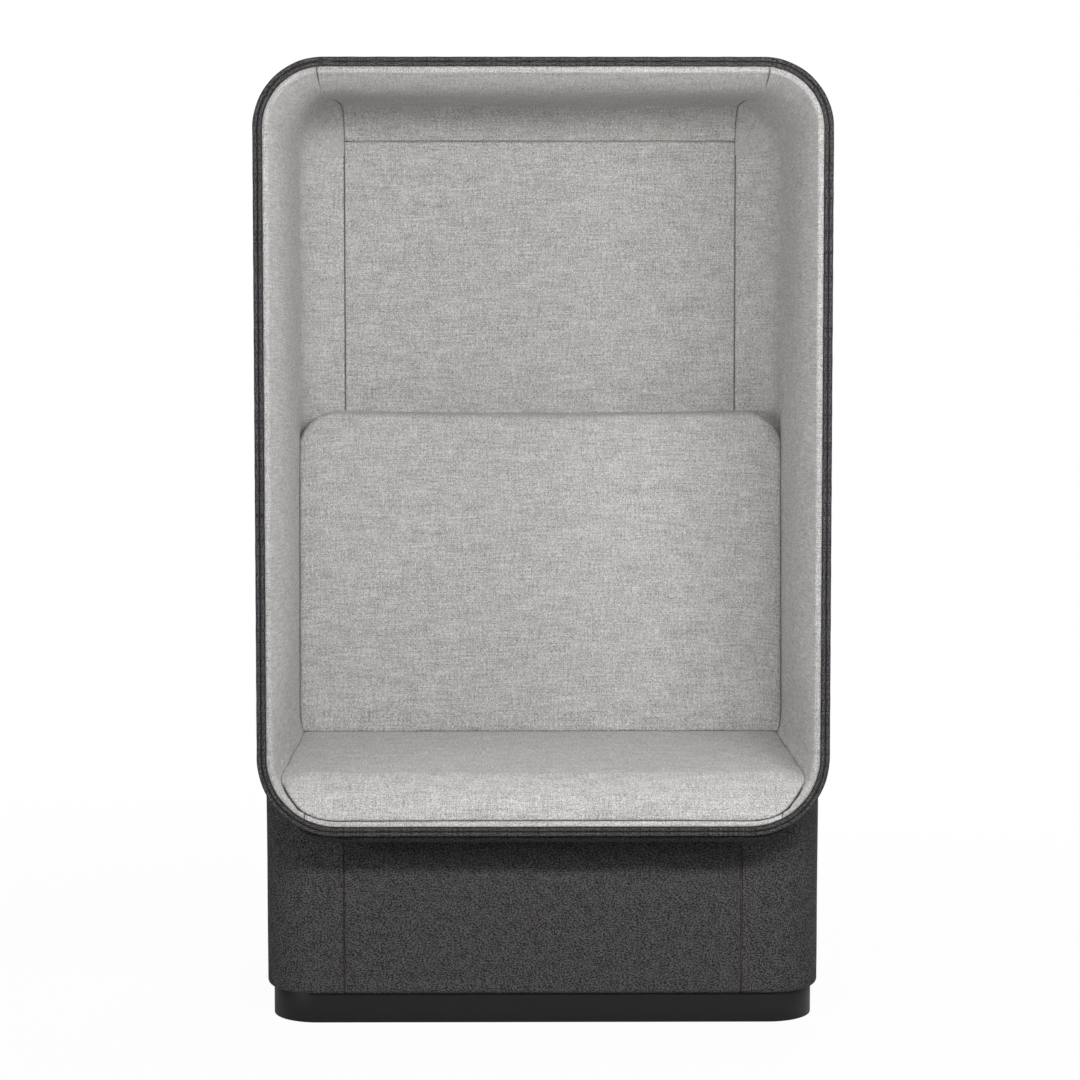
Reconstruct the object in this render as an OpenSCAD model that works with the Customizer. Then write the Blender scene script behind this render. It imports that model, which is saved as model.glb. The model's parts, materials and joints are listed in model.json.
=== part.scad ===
// High back lounge chair with a sound absorbing tub, on an upholstered base and a black plinth.
// The front faces -Y, +Z is up, and the origin is on the floor under the middle of the chair.
// The tub is drawn lying on its back: x across, y up the tub, and z falls with the depth.

/* [Chair] */
// Width over the felt sides
chair_w = 900; // [820:5:980]
// Height of the tub's lower front edge above the floor
tub_z = 329; // [300:1:380]
// Lean of the tub towards the back, in degrees
tub_lean = 1.9; // [0:0.1:4]

/* [Tub] */
// Height of the tub, measured along its lean
tub_h = 1215; // [1050:5:1350]
// Depth of the tub from its rim to its back
tub_d = 742; // [700:2:800]
// Radius of the two upper corners, seen from the front
top_r = 110; // [104:1:140]
// Radius of the two lower corners, seen from the front
bottom_r = 125; // [115:1:140]
// Radius of the outer edge between the walls and the back
back_r = 100; // [80:1:102]

/* [Tub wall, from the outside in] */
// Thickness of the outer felt
felt_t = 3; // [2:0.5:5]
// Thickness of the moulded shell board
shell_t = 12; // [9:0.5:15]
// Thickness of the foam behind the lining
foam_t = 7.5; // [5:0.5:12]
// Thickness of the wool lining
lining_t = 2.5; // [1.5:0.5:4]
// How far the lining's top seam lies above the flat of the back
lining_seam_up = 17; // [0:1:30]

/* [Rim] */
// Depth at which the padded front edge of the lining starts
roll_set = 1.5; // [0:0.5:4]
// Radius of the roll under the rim
under_r = 8; // [5:0.5:12]
// How far the roll under the rim hangs below the tub
under_drop = 11; // [6:0.5:15]
// How far the roll under the rim climbs the lower corners, in degrees
under_climb = 40; // [20:1:60]

/* [Base] */
// Distance from the rim back to the front of the base
overhang = 100; // [70:1:130]
// Radius of the base's front corners, seen from above
base_front_r = 85; // [60:1:110]
// Radius of the base's back corners, seen from above
base_rear_r = 100; // [60:1:120]
// How far the base stands behind the back of the tub
back_step = 3; // [2:0.5:8]
// Height of the felt's lower edge above the floor
base_z = 50; // [40:1:70]
// Radius of the felt's lower edge
edge_r = 8; // [6:0.5:12]
// Width of the felt that turns under the base
turn_w = 28; // [20:1:28]
// Distance of the upright seams in from the base's sides
base_seam_in = 130; // [110:5:200]
// Height of the base's sides above the underside of the tub
horn_h = 98; // [70:1:98]
// Thickness of the rails and corner posts
rail_t = 18; // [12:1:25]
// Thickness of the board that the base stands on
floor_t = 18; // [12:1:25]
// Thickness of the deck that the tub stands on
deck_t = 18; // [12:1:25]
// Width of the rim of board left round the opening in the base's floor
floor_rim = 110; // [100:5:140]
// Height of the blocks that cradle the tub's lower edges
cradle_h = 60; // [40:1:70]

/* [Plinth] */
// Distance from the felt in to the plinth
plinth_in = 10; // [6:1:14]
// Thickness of the plinth's wall
plinth_t = 18; // [12:1:20]
// Gap between the plinth and the floor
plinth_gap = 4; // [3:0.5:6]
// Side of each square foot block
block_w = 70; // [60:1:80]

/* [Feet] */
// Diameter of a foot's pad
pad_d = 48; // [40:1:56]
// Thickness of a foot's pad
pad_t = 8; // [6:0.5:8]
// Radius of the pad's rounded lower edge
pad_edge_r = 2; // [1:0.5:3]
// Diameter of a foot's screw
screw_d = 10; // [8:1:12]
// Length of a foot's screw above its pad
screw_l = 36; // [28:1:38]
// Outer diameter of a foot's threaded insert
insert_d = 16; // [14:1:20]
// Diameter of the insert's flange
flange_d = 30; // [24:1:36]
// Thickness of the insert's flange
flange_t = 2; // [1.5:0.5:2.5]
// Running clearance between screw and insert
screw_gap = 0.05; // [0.02:0.01:0.1]

/* [Seat cushion] */
// Thickness of the cushion at its side edges
seat_t = 62; // [55:1:75]
// Crown of the cushion's top
seat_crown = 2; // [0:1:10]
// Radius of the rolled front edge
seat_roll_r = 62; // [40:1:70]
// Height of the flat at the bottom of the front
seat_lip = 20; // [10:1:26]
// Radius of the cushion's upper side edges
seat_edge_r = 12; // [8:1:20]
// Distance from the rim's plane to the front of the cushion
seat_front = 9; // [6:1:20]

/* [Back cushion] */
// Height of the cushion
pad_h = 559; // [480:1:600]
// Thickness of the cushion at the seat
pad_low_t = 150; // [130:1:165]
// Thickness of the cushion at its top
pad_high_t = 110; // [100:1:125]
// Forward crown of the cushion's face
pad_crown = 10; // [4:1:16]
// Radius of its upper corners, seen from the front
pad_corner_r = 75; // [60:1:90]
// Radius of its soft front edges
pad_soft_r = 26; // [18:1:30]
// How far its sides draw in between the corners
pad_draw = 3; // [0:0.5:5]

/* [Boards and strips in the cushions] */
// Thickness of the board in each cushion
insert_board_t = 9; // [6:0.5:12]
// Width of rim left before and behind the board in the seat cushion
seat_rim_w = 70; // [60:5:90]
// Distance of that board in from the round lower corners
seat_rim_side = 25; // [10:1:60]
// Width of rim left round the board in the back cushion
pad_rim_w = 90; // [80:5:110]
// Thickness of the strips that hold the cushions
grip_t = 2; // [1.5:0.5:3]
// Width of such a strip
grip_w = 40; // [25:1:50]
// Length of such a strip
grip_l = 520; // [400:10:560]

/* [Seat suspension] */
// Number of webbing straps under the seat
strap_count = 6; // [4:1:7]
// Width of a strap
strap_w = 45; // [35:1:50]
// Thickness of a strap
strap_t = 2.5; // [1.5:0.5:3]
// Distance of the opening that the straps cross in from the round lower corners
well_side = 75; // [60:1:110]
// Distance from the front of the base back to that opening
well_front = 30; // [24:1:40]
// Distance from the back of that opening to where the floor rounds up
well_rear = 92; // [80:1:110]
// Grip of each strap on the board beside the opening
strap_end = 40; // [30:1:45]

/* [Bolts and screws] */
// Diameter of the bolts that hold the tub
bolt_d = 8; // [6:1:10]
// Diameter of a bolt's head
bolt_head_d = 14; // [12:1:16]
// Height of a bolt's head
bolt_head_t = 5; // [4:0.5:6]
// Diameter of the washer under a bolt's head
washer_d = 24; // [20:1:28]
// Thickness of that washer
washer_t = 2; // [1:0.5:3]
// Diameter of the nut's barrel
nut_d = 11; // [11:0.5:12]
// Diameter of the nut's flange
nut_flange_d = 22; // [18:1:26]
// Thickness of the nut's flange
nut_flange_t = 1.5; // [1:0.5:2]
// Distance of the bolts in from the round lower corners
bolt_side = 25; // [18:1:32]
// Distance from the front of the base back to the front bolts
bolt_front = 60; // [50:1:70]
// Distance from the back bolts to where the floor rounds up
bolt_rear = 32; // [28:1:50]
// Diameter of the screws in the foot blocks
wood_screw_d = 5; // [4:0.5:6]
// Diameter of such a screw's head
wood_head_d = 10; // [8:0.5:12]
// Thickness of such a screw's head
wood_head_t = 3; // [2:0.5:4]
// Depth of the pocket that the head lies in
wood_pocket = 20; // [14:1:24]
// Grip of such a screw in the base's floor
wood_grip = 14; // [8:1:15]
// Clearance round bolts, screws and inserts
hole_gap = 0.2; // [0.1:0.05:0.4]
// Clearance round the soft cushions
soft_gap = 0.4; // [0.3:0.1:1]

/* [Hidden] */

$fn = 64;
// Overrun of every cut
over = 1;

// Insets of the wall's layers from the outside of the tub
shell_in = felt_t;
foam_in = shell_in + shell_t;
lining_in = foam_in + foam_t;
wall = lining_in + lining_t;
// Two welts side by side cover the edge of felt and board
welt_d = foam_in / 2;
// The lining's front edge is a quarter round as wide as foam and lining
roll_r = foam_t + lining_t;
lining_start = roll_set + roll_r;
// The seams of the tub run where its flat back meets the rounded edges
seam_x = chair_w / 2 - back_r;
seam_high = tub_h - back_r;
back_start = tub_d - back_r;

// Depth of the leaning tub, and the front of its rim
chair_d = back_start * cos(tub_lean) + seam_high * sin(tub_lean) + back_r;
front_y = -chair_d / 2;
base_front = front_y + overhang;
base_back = front_y + tub_d * cos(tub_lean) + horn_h * sin(tub_lean) + back_step;
base_l = base_back - base_front;
base_mid = (base_front + base_back) / 2;
base_seam_x = chair_w / 2 - base_seam_in;

// The rails run between the rounded corners of the base
rail_front_x = chair_w / 2 - base_front_r;
rail_back_x = chair_w / 2 - base_rear_r;
rail_front_y = base_front + base_front_r;
rail_back_y = base_back - base_rear_r;

// Levels of the base
floor_z = base_z + felt_t;
rail_z = floor_z + floor_t;
insert_z = pad_t + soft_gap;
block_z = insert_z + flange_t;

// Places of the feet
foot_x = chair_w / 2 - max(base_front_r, base_rear_r) - block_w / 2;
foot_front_y = base_front + plinth_in + plinth_t + block_w / 2;
foot_back_y = base_back - plinth_in - plinth_t - block_w / 2;
foot_places = [
    [-foot_x, foot_front_y], [foot_x, foot_front_y],
    [-foot_x, foot_back_y], [foot_x, foot_back_y]
];
screw_side = block_w / 4;

// The floor of the tub is flat up to here on each side
corner_x = chair_w / 2 - bottom_r;

// Places of the bolts, as across and depth in the tub
bolt_places = [
    for (depth = [overhang + bolt_front, back_start - bolt_rear]) for (side = [-1, 1])
        [side * (corner_x - bolt_side), depth]
];

// Straps, spread evenly over the opening under the seat
well_x = corner_x - well_side;
well_start = overhang + well_front;
well_end = back_start - well_rear;
strap_step = (well_end - well_start) / strap_count;
strap_x = well_x + strap_end;

// Seat cushion, which follows the round lower corners of the tub
seat_corner_r = bottom_r - wall - grip_t;
seat_low = wall + grip_t;
seat_top = seat_low + seat_t;
seat_back = back_start - soft_gap;
seat_ring_rolls = 9;
seat_ring_flats = 7;
seat_ring_rears = 4;
seat_side_steps = 7;
seat_edge_steps = 3;
seat_top_steps = 7;
seat_board_x = corner_x - seat_rim_side;
seat_board_front = seat_front + seat_rim_w;
seat_board_back = seat_back - seat_rim_w;
seat_grip_shares = [1 / 4, 3 / 4];

// Back cushion, which follows the round edges between the side walls and the back wall
pad_low = seat_top + seat_crown + soft_gap;
pad_high = pad_low + pad_h;
pad_arc_r = back_r - wall - grip_t;
pad_arc_x = chair_w / 2 - back_r;
pad_rear = tub_d - wall - grip_t;
pad_ring_lows = 4;
pad_ring_mids = 6;
pad_ring_highs = 8;
pad_face_steps = 8;
pad_edge_steps = 4;
pad_arc_steps = 4;
pad_board_x = pad_arc_x - pad_rim_w / 2;
pad_grip_shares = [1 / 3, 2 / 3];
// The last ring stops just short of the point where the corner turns level
pad_corner_share = 0.97;
// The crown keeps a little of its height at both ends of the cushion
pad_crown_share = 0.02;

felt_grey = [0.21, 0.21, 0.215];
wool_grey = [0.72, 0.72, 0.70];
board_tan = [0.78, 0.66, 0.48];
foam_cream = [0.90, 0.88, 0.78];
plinth_black = [0.08, 0.08, 0.08];
steel_grey = [0.62, 0.63, 0.65];
strap_brown = [0.34, 0.27, 0.20];

// Rounded rectangle on y = 0, with its low and high corner radii, drawn in by an inset
module outline(w, h, r_low, r_high, inset = 0) {
    for (side = [-1, 1]) {
        translate([side * (w / 2 - r_low), r_low]) circle(r_low - inset);
        translate([side * (w / 2 - r_high), h - r_high]) circle(r_high - inset);
    }
    translate([-w / 2 + inset, r_low]) square([w - 2 * inset, h - r_low - r_high]);
    translate([-w / 2 + r_low, inset]) square([w - 2 * r_low, r_low - inset]);
    translate([-w / 2 + r_high, h - r_high]) square([w - 2 * r_high, r_high - inset]);
}

// Carries a flat section round that rectangle: x points out of it and y becomes z
module around(w, h, r_low, r_high) {
    radii = [r_high, r_high, r_low, r_low];
    sides_x = [1, -1, -1, 1];
    sides_y = [h - r_high, h - r_high, r_low, r_low];
    starts = [[w / 2, h - r_high], [r_high - w / 2, h], [-w / 2, r_low], [w / 2 - r_low, 0]];
    runs = [h - r_low - r_high, w - 2 * r_high, h - r_low - r_high, w - 2 * r_low];
    for (i = [0:3]) {
        translate([sides_x[i] * (w / 2 - radii[i]), sides_y[i], 0])
            rotate([0, 0, 90 * i])
                rotate_extrude(angle = 90)
                    translate([radii[i], 0]) children();
        translate([starts[i].x, starts[i].y, 0])
            rotate([90, 0, 90 * i])
                linear_extrude(runs[i]) children();
    }
}

// Quarter of a ring, from the section's lowest point to its outermost
module quarter_ring(r_out, r_in) {
    intersection() {
        difference() {
            circle(r_out);
            circle(r_in);
        }
        translate([0, -r_out]) square(r_out);
    }
}

// Stands the tub up, leans it back and sets its rim at the front of the chair
module place_tub() {
    translate([0, front_y, tub_z]) rotate([90 - tub_lean, 0, 0]) children();
}

// Box in the tub's own terms: across, up, and from one depth to a greater one
module tub_box(x0, x1, y0, y1, depth0, depth1) {
    translate([x0, y0, -depth1]) cube([x1 - x0, y1 - y0, depth1 - depth0]);
}

// The whole tub as one solid
module tub_block() {
    translate([0, 0, -back_start]) linear_extrude(back_start) outline(chair_w, tub_h, bottom_r, top_r);
    translate([0, 0, -tub_d]) linear_extrude(back_r) outline(chair_w, tub_h, bottom_r, top_r, back_r);
    around(chair_w, tub_h, bottom_r, top_r)
        translate([-back_r, -back_start]) intersection() {
            circle(back_r);
            translate([0, -back_r]) square(back_r);
        }
}

// One layer of the tub's wall, between two insets, from a depth to the back
module tub_layer(in0, in1, start) {
    around(chair_w, tub_h, bottom_r, top_r) {
        union() {
            translate([-in1, -back_start]) square([in1 - in0, back_start - start]);
            translate([-back_r, -back_start]) quarter_ring(back_r - in0, back_r - in1);
        }
    }
    translate([0, 0, in0 - tub_d])
        linear_extrude(in1 - in0) outline(chair_w, tub_h, bottom_r, top_r, back_r);
}

// The five panels that a layer is cut into along the seams
module side_panel(side, in0, in1, start) {
    x0 = side < 0 ? -chair_w / 2 - over : seam_x;
    intersection() {
        tub_layer(in0, in1, start);
        tub_box(x0, x0 + back_r + over, -over, tub_h + over, -over, tub_d + over);
    }
}

module top_panel(in0, in1, start, seam_up = 0) {
    intersection() {
        tub_layer(in0, in1, start);
        tub_box(-seam_x, seam_x, seam_high + seam_up, tub_h + over, -over, tub_d + over);
    }
}

module floor_panel(in0, in1, start) {
    intersection() {
        tub_layer(in0, in1, start);
        tub_box(-seam_x, seam_x, -over, back_r, -over, tub_d + over);
    }
}

module back_panel(in0, in1) {
    tub_box(-seam_x, seam_x, back_r, seam_high, tub_d - in1, tub_d - in0);
}

// A round section carried round the opening, a given inset and depth from the rim
module rim_bead(in, depth) {
    around(chair_w, tub_h, bottom_r, top_r) translate([-in, -depth]) circle(welt_d / 2);
}

module at_bolts() {
    for (place = bolt_places) translate([place.x, 0, -place.y]) rotate([-90, 0, 0]) children();
}

// Plan of the base drawn in by an inset, between two heights
module base_prism(inset, z0, z1) {
    translate([0, base_front, z0])
        linear_extrude(z1 - z0) outline(chair_w, base_l, base_front_r, base_rear_r, inset);
}

// Keeps what lies below a height on the tub's underside
module below_tub(height) {
    intersection() {
        children();
        place_tub() tub_box(-chair_w, chair_w, -tub_z - tub_d, height, -tub_d, 2 * tub_d);
    }
}

module base_felt_section() {
    translate([-felt_t, base_z + edge_r]) square([felt_t, tub_z + bottom_r - base_z - edge_r]);
    translate([-edge_r, base_z + edge_r]) quarter_ring(edge_r, edge_r - felt_t);
    translate([-turn_w, base_z]) square([turn_w - edge_r, felt_t]);
}

module base_felt() {
    below_tub(horn_h) difference() {
        translate([0, base_front, 0])
            around(chair_w, base_l, base_front_r, base_rear_r) base_felt_section();
        place_tub() tub_block();
    }
}

module base_felt_panel(x0, x1, y0, y1) {
    color(felt_grey) intersection() {
        base_felt();
        translate([x0, y0, 0]) cube([x1 - x0, y1 - y0, tub_z + tub_h]);
    }
}

module base_ring(y0, y1, x0, x1) {
    color(board_tan) below_tub(-deck_t) intersection() {
        difference() {
            base_prism(felt_t, rail_z, tub_z);
            base_prism(felt_t + rail_t, rail_z - over, tub_z + over);
        }
        translate([x0, y0, 0]) cube([x1 - x0, y1 - y0, tub_z]);
    }
}

module cradle(x0, x1, depth0) {
    color(board_tan) difference() {
        intersection() {
            base_prism(felt_t, base_z, tub_z + bottom_r);
            place_tub() tub_box(x0, x1, 0, cradle_h, depth0, tub_d + back_step + over);
        }
        place_tub() tub_block();
    }
}

// Plinth and feet

module plinth() {
    color(plinth_black) difference() {
        base_prism(plinth_in, plinth_gap, base_z);
        base_prism(plinth_in + plinth_t, plinth_gap - over, base_z + over);
    }
}

module at_block_screws() {
    for (side = [-1, 1]) translate([side * screw_side, side * screw_side, 0]) children();
}

module foot_blocks() {
    color(board_tan) for (place = foot_places) translate([place.x, place.y, 0]) difference() {
        translate([-block_w / 2, -block_w / 2, block_z]) cube([block_w, block_w, floor_z - block_z]);
        cylinder(h = floor_z + over, d = insert_d + 2 * hole_gap);
        at_block_screws() {
            cylinder(h = floor_z + over, d = wood_screw_d + 2 * hole_gap);
            cylinder(h = block_z + wood_pocket, d = wood_head_d + 2 * hole_gap);
        }
    }
}

module block_screws() {
    color(steel_grey) for (place = foot_places) translate([place.x, place.y, 0]) at_block_screws() {
        translate([0, 0, block_z + wood_pocket - wood_head_t]) cylinder(h = wood_head_t, d = wood_head_d);
        translate([0, 0, block_z + wood_pocket - over])
            cylinder(h = floor_z + wood_grip - block_z - wood_pocket + over, d = wood_screw_d);
    }
}

module foot_inserts() {
    color(steel_grey) for (place = foot_places) translate([place.x, place.y, 0]) difference() {
        union() {
            translate([0, 0, insert_z]) cylinder(h = flange_t, d = flange_d);
            translate([0, 0, insert_z]) cylinder(h = floor_z - insert_z, d = insert_d);
        }
        cylinder(h = floor_z + over, d = screw_d + 2 * screw_gap);
    }
}

module foot(place) {
    color(plinth_black) translate([place.x, place.y, 0]) {
        rotate_extrude() {
            square([pad_d / 2 - pad_edge_r, pad_t]);
            translate([0, pad_edge_r]) square([pad_d / 2, pad_t - pad_edge_r]);
            translate([pad_d / 2 - pad_edge_r, pad_edge_r]) circle(pad_edge_r);
        }
        translate([0, 0, pad_t - over]) cylinder(h = screw_l + over, d = screw_d);
    }
}

module foot_front_left() { foot(foot_places[0]); }
module foot_front_right() { foot(foot_places[1]); }
module foot_back_left() { foot(foot_places[2]); }
module foot_back_right() { foot(foot_places[3]); }

// Frame of the base

module base_floor() {
    color(board_tan) difference() {
        base_prism(edge_r, floor_z, rail_z);
        translate([floor_rim - chair_w / 2, base_front + floor_rim, floor_z - over])
            cube([chair_w - 2 * floor_rim, base_l - 2 * floor_rim, floor_t + 2 * over]);
        for (place = foot_places) translate([place.x, place.y, floor_z - over]) at_block_screws()
            cylinder(h = wood_grip + over, d = wood_screw_d + 2 * hole_gap);
    }
}

module base_rail_front() { base_ring(base_front, rail_front_y, -rail_front_x, rail_front_x); }
module base_rail_back() { base_ring(rail_back_y, base_back, -rail_back_x, rail_back_x); }
module base_rail_left() { base_ring(rail_front_y, rail_back_y, -chair_w / 2, -rail_front_x); }
module base_rail_right() { base_ring(rail_front_y, rail_back_y, rail_front_x, chair_w / 2); }

module base_posts_front() {
    for (side = [-1, 1]) mirror([side < 0 ? 1 : 0, 0, 0])
        base_ring(base_front, rail_front_y, rail_front_x, chair_w / 2);
}

module base_posts_back() {
    for (side = [-1, 1]) mirror([side < 0 ? 1 : 0, 0, 0])
        base_ring(rail_back_y, base_back, rail_back_x, chair_w / 2);
}

module base_deck() {
    color(board_tan) difference() {
        intersection() {
            base_prism(felt_t, base_z, tub_z + bottom_r);
            place_tub() tub_box(-chair_w, chair_w, -deck_t, 0, 0, tub_d + tub_d);
        }
        place_tub() at_bolts()
            translate([0, 0, -deck_t - over]) cylinder(h = deck_t + 2 * over, d = bolt_d + 2 * hole_gap);
    }
}

module cradle_left() { cradle(-chair_w / 2, -corner_x, 0); }
module cradle_right() { cradle(corner_x, chair_w / 2, 0); }
module cradle_back() { cradle(-corner_x, corner_x, back_start); }

module base_felt_front() { base_felt_panel(-base_seam_x, base_seam_x, base_front - over, base_mid); }
module base_felt_back() { base_felt_panel(-base_seam_x, base_seam_x, base_mid, base_back + over); }
module base_felt_left() {
    base_felt_panel(-chair_w / 2 - over, -base_seam_x, base_front - over, base_back + over);
}
module base_felt_right() {
    base_felt_panel(base_seam_x, chair_w / 2 + over, base_front - over, base_back + over);
}

// Walls of the tub

module shell_floor() {
    color(board_tan) place_tub() difference() {
        floor_panel(shell_in, foam_in, welt_d);
        tub_box(-well_x, well_x, 0, foam_in + over, well_start, well_end);
        at_bolts() {
            cylinder(h = foam_in + over, d = nut_d + 2 * hole_gap);
            translate([0, 0, foam_in - nut_flange_t])
                cylinder(h = nut_flange_t + over, d = nut_flange_d + 2 * hole_gap);
        }
    }
}

module shell_left() { color(board_tan) place_tub() side_panel(-1, shell_in, foam_in, welt_d); }
module shell_right() { color(board_tan) place_tub() side_panel(1, shell_in, foam_in, welt_d); }
module shell_top() { color(board_tan) place_tub() top_panel(shell_in, foam_in, welt_d); }
module shell_back() { color(board_tan) place_tub() back_panel(shell_in, foam_in); }

module felt_floor() {
    color(felt_grey) place_tub() difference() {
        floor_panel(0, shell_in, welt_d);
        at_bolts() translate([0, 0, -over]) cylinder(h = felt_t + 2 * over, d = bolt_d + 2 * hole_gap);
    }
}

module felt_left() { color(felt_grey) place_tub() side_panel(-1, 0, shell_in, welt_d); }
module felt_right() { color(felt_grey) place_tub() side_panel(1, 0, shell_in, welt_d); }
module felt_top() { color(felt_grey) place_tub() top_panel(0, shell_in, welt_d); }
module felt_back() { color(felt_grey) place_tub() back_panel(0, shell_in); }

module foam_floor() {
    color(foam_cream) place_tub() difference() {
        floor_panel(foam_in, lining_in, lining_start);
        straps(hole_gap);
    }
}

module foam_left() { color(foam_cream) place_tub() side_panel(-1, foam_in, lining_in, lining_start); }
module foam_right() { color(foam_cream) place_tub() side_panel(1, foam_in, lining_in, lining_start); }
module foam_top() { color(foam_cream) place_tub() top_panel(foam_in, lining_in, lining_start); }
module foam_back() { color(foam_cream) place_tub() back_panel(foam_in, lining_in); }

module lining_floor() { color(wool_grey) place_tub() floor_panel(lining_in, wall, lining_start); }
module lining_left() { color(wool_grey) place_tub() side_panel(-1, lining_in, wall, lining_start); }
module lining_right() { color(wool_grey) place_tub() side_panel(1, lining_in, wall, lining_start); }
module lining_top() {
    color(wool_grey) place_tub() top_panel(lining_in, wall, lining_start, lining_seam_up);
}

// Its top edge reaches up into the round edge over the flat of the back
module lining_back() {
    color(wool_grey) place_tub() {
        back_panel(lining_in, wall);
        intersection() {
            tub_layer(lining_in, wall, lining_start);
            tub_box(-seam_x, seam_x, seam_high, seam_high + lining_seam_up, back_start, tub_d + over);
        }
    }
}

// Rim

module rim_welt_outer() { color(felt_grey) place_tub() rim_bead(welt_d / 2, welt_d / 2); }
module rim_welt_inner() { color(felt_grey) place_tub() rim_bead(3 * welt_d / 2, welt_d / 2); }

module rim_lining_roll() {
    color(wool_grey) place_tub() around(chair_w, tub_h, bottom_r, top_r)
        translate([-foam_in, -lining_start]) mirror([1, 0]) intersection() {
            circle(roll_r);
            square(roll_r);
        }
}

// The roll hangs from the front edge of the tub's underside and climbs both lower corners
module under_roll_section() {
    difference() {
        translate([under_drop - under_r, -welt_d - under_r]) circle(under_r);
        translate([-2 * under_r, -welt_d - 3 * under_r]) square([2 * under_r, 4 * under_r]);
    }
}

module under_rim_roll() {
    color(felt_grey) place_tub() {
        translate([chair_w / 2 - bottom_r, 0, 0]) rotate([90, 0, 270])
            linear_extrude(chair_w - 2 * bottom_r) under_roll_section();
        for (side = [-1, 1]) translate([side * (chair_w / 2 - bottom_r), bottom_r, 0])
            rotate([0, 0, side < 0 ? 270 - under_climb : 270])
                rotate_extrude(angle = under_climb) translate([bottom_r, 0]) under_roll_section();
    }
}

// Bolts that hold the tub on the deck

module tub_bolts() {
    color(steel_grey) place_tub() at_bolts() {
        translate([0, 0, -deck_t - washer_t - bolt_head_t]) cylinder(h = bolt_head_t, d = bolt_head_d);
        translate([0, 0, -deck_t - washer_t - over])
            cylinder(h = deck_t + washer_t + over + foam_in - nut_flange_t, d = bolt_d);
    }
}

module tub_washers() {
    color(steel_grey) place_tub() at_bolts() translate([0, 0, -deck_t - washer_t]) difference() {
        cylinder(h = washer_t, d = washer_d);
        translate([0, 0, -over]) cylinder(h = washer_t + 2 * over, d = bolt_d + 2 * hole_gap);
    }
}

module tub_nuts() {
    color(steel_grey) place_tub() at_bolts() difference() {
        union() {
            translate([0, 0, felt_t]) cylinder(h = shell_t, d = nut_d);
            translate([0, 0, foam_in - nut_flange_t]) cylinder(h = nut_flange_t, d = nut_flange_d);
        }
        translate([0, 0, felt_t - over]) cylinder(h = shell_t + 2 * over, d = bolt_d + 2 * screw_gap);
    }
}

// Webbing under the seat cushion

module straps(gap) {
    for (i = [0:strap_count - 1]) {
        middle = well_start + (i + 1 / 2) * strap_step;
        tub_box(-strap_x - gap, strap_x + gap, foam_in - gap, foam_in + strap_t + gap,
            middle - strap_w / 2 - gap, middle + strap_w / 2 + gap);
    }
}

module seat_straps() { color(strap_brown) place_tub() straps(0); }

// Seat cushion: rings that run across it, each a closed outline of across and up

function seat_half(top, crown) =
    let (turn = acos((bottom_r - top + seat_edge_r) / seat_corner_r))
    let (side_x = corner_x + seat_corner_r * sin(turn))
    concat(
        [for (i = [0:seat_side_steps]) let (a = turn * i / seat_side_steps)
            [corner_x + seat_corner_r * sin(a), bottom_r - seat_corner_r * cos(a)]],
        [for (i = [1:seat_edge_steps]) let (a = 90 * i / seat_edge_steps)
            [side_x - seat_edge_r * (1 - cos(a)), top - seat_edge_r * (1 - sin(a))]],
        [for (i = [1:seat_top_steps]) let (share = 1 - i / seat_top_steps)
            [(side_x - seat_edge_r) * share, top + crown * (1 - pow(share, 3))]]
    );

function mirrored(half) =
    concat(half, [for (i = [len(half) - 2:-1:0]) [-half[i].x, half[i].y]]);

// Depth, top height and crown of each ring, from the rolled front to the rear edge
function seat_stations() =
    let (low = seat_low + seat_lip + seat_edge_r)
    let (roll_end = seat_front + seat_roll_r)
    let (rear_start = seat_back - seat_edge_r)
    concat(
        [for (i = [0:seat_ring_rolls]) let (a = 90 * i / seat_ring_rolls)
            [roll_end - seat_roll_r * cos(a), low + (seat_top - low) * sin(a), seat_crown * sin(a)]],
        [for (i = [1:seat_ring_flats]) let (share = i / seat_ring_flats)
            [roll_end + (rear_start - roll_end) * share, seat_top, seat_crown]],
        [for (i = [1:seat_ring_rears]) let (a = 90 * i / seat_ring_rears)
            [rear_start + seat_edge_r * sin(a), seat_top - seat_edge_r * (1 - cos(a)), seat_crown * cos(a)]]
    );

// Solid skinned over rings of as many points each, closed by a fan at both ends
module skinned(rings) {
    count = len(rings[0]);
    last = len(rings) - 1;
    middles = [for (ring = [rings[0], rings[last]]) [for (k = [0:2]) sum_of(ring, k) / count]];
    points = concat([for (ring = rings) each ring], middles);
    first_middle = count * (last + 1);
    sides = [for (i = [0:last - 1]) for (j = [0:count - 1])
        let (a = i * count + j, b = i * count + (j + 1) % count)
        each [[a, b, b + count], [a, b + count, a + count]]];
    ends = [for (j = [0:count - 1]) let (k = (j + 1) % count)
        each [[k, j, first_middle], [last * count + j, last * count + k, first_middle + 1]]];
    polyhedron(points, concat(sides, ends), convexity = 4);
}

function sum_of(ring, k, i = 0) = i == len(ring) ? 0 : ring[i][k] + sum_of(ring, k, i + 1);

module seat_cushion() {
    color(wool_grey) place_tub() difference() {
        skinned([for (s = seat_stations()) [for (p = mirrored(seat_half(s.y, s.z))) [p.x, p.y, -s.x]]]);
        tub_box(-seat_board_x, seat_board_x, 0, seat_low + insert_board_t,
            seat_board_front, seat_board_back);
    }
}

module seat_cushion_board() {
    color(board_tan) place_tub() tub_box(-seat_board_x + soft_gap, seat_board_x - soft_gap,
        seat_low, seat_low + insert_board_t, seat_board_front + soft_gap, seat_board_back - soft_gap);
}

module seat_grip_strips() {
    color(strap_brown) place_tub() for (share = seat_grip_shares) {
        middle = seat_board_front + (seat_board_back - seat_board_front) * share;
        tub_box(-grip_l / 2, grip_l / 2, wall, seat_low, middle - grip_w / 2, middle + grip_w / 2);
    }
}

// Back cushion: level rings, each a closed outline of across and depth

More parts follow.
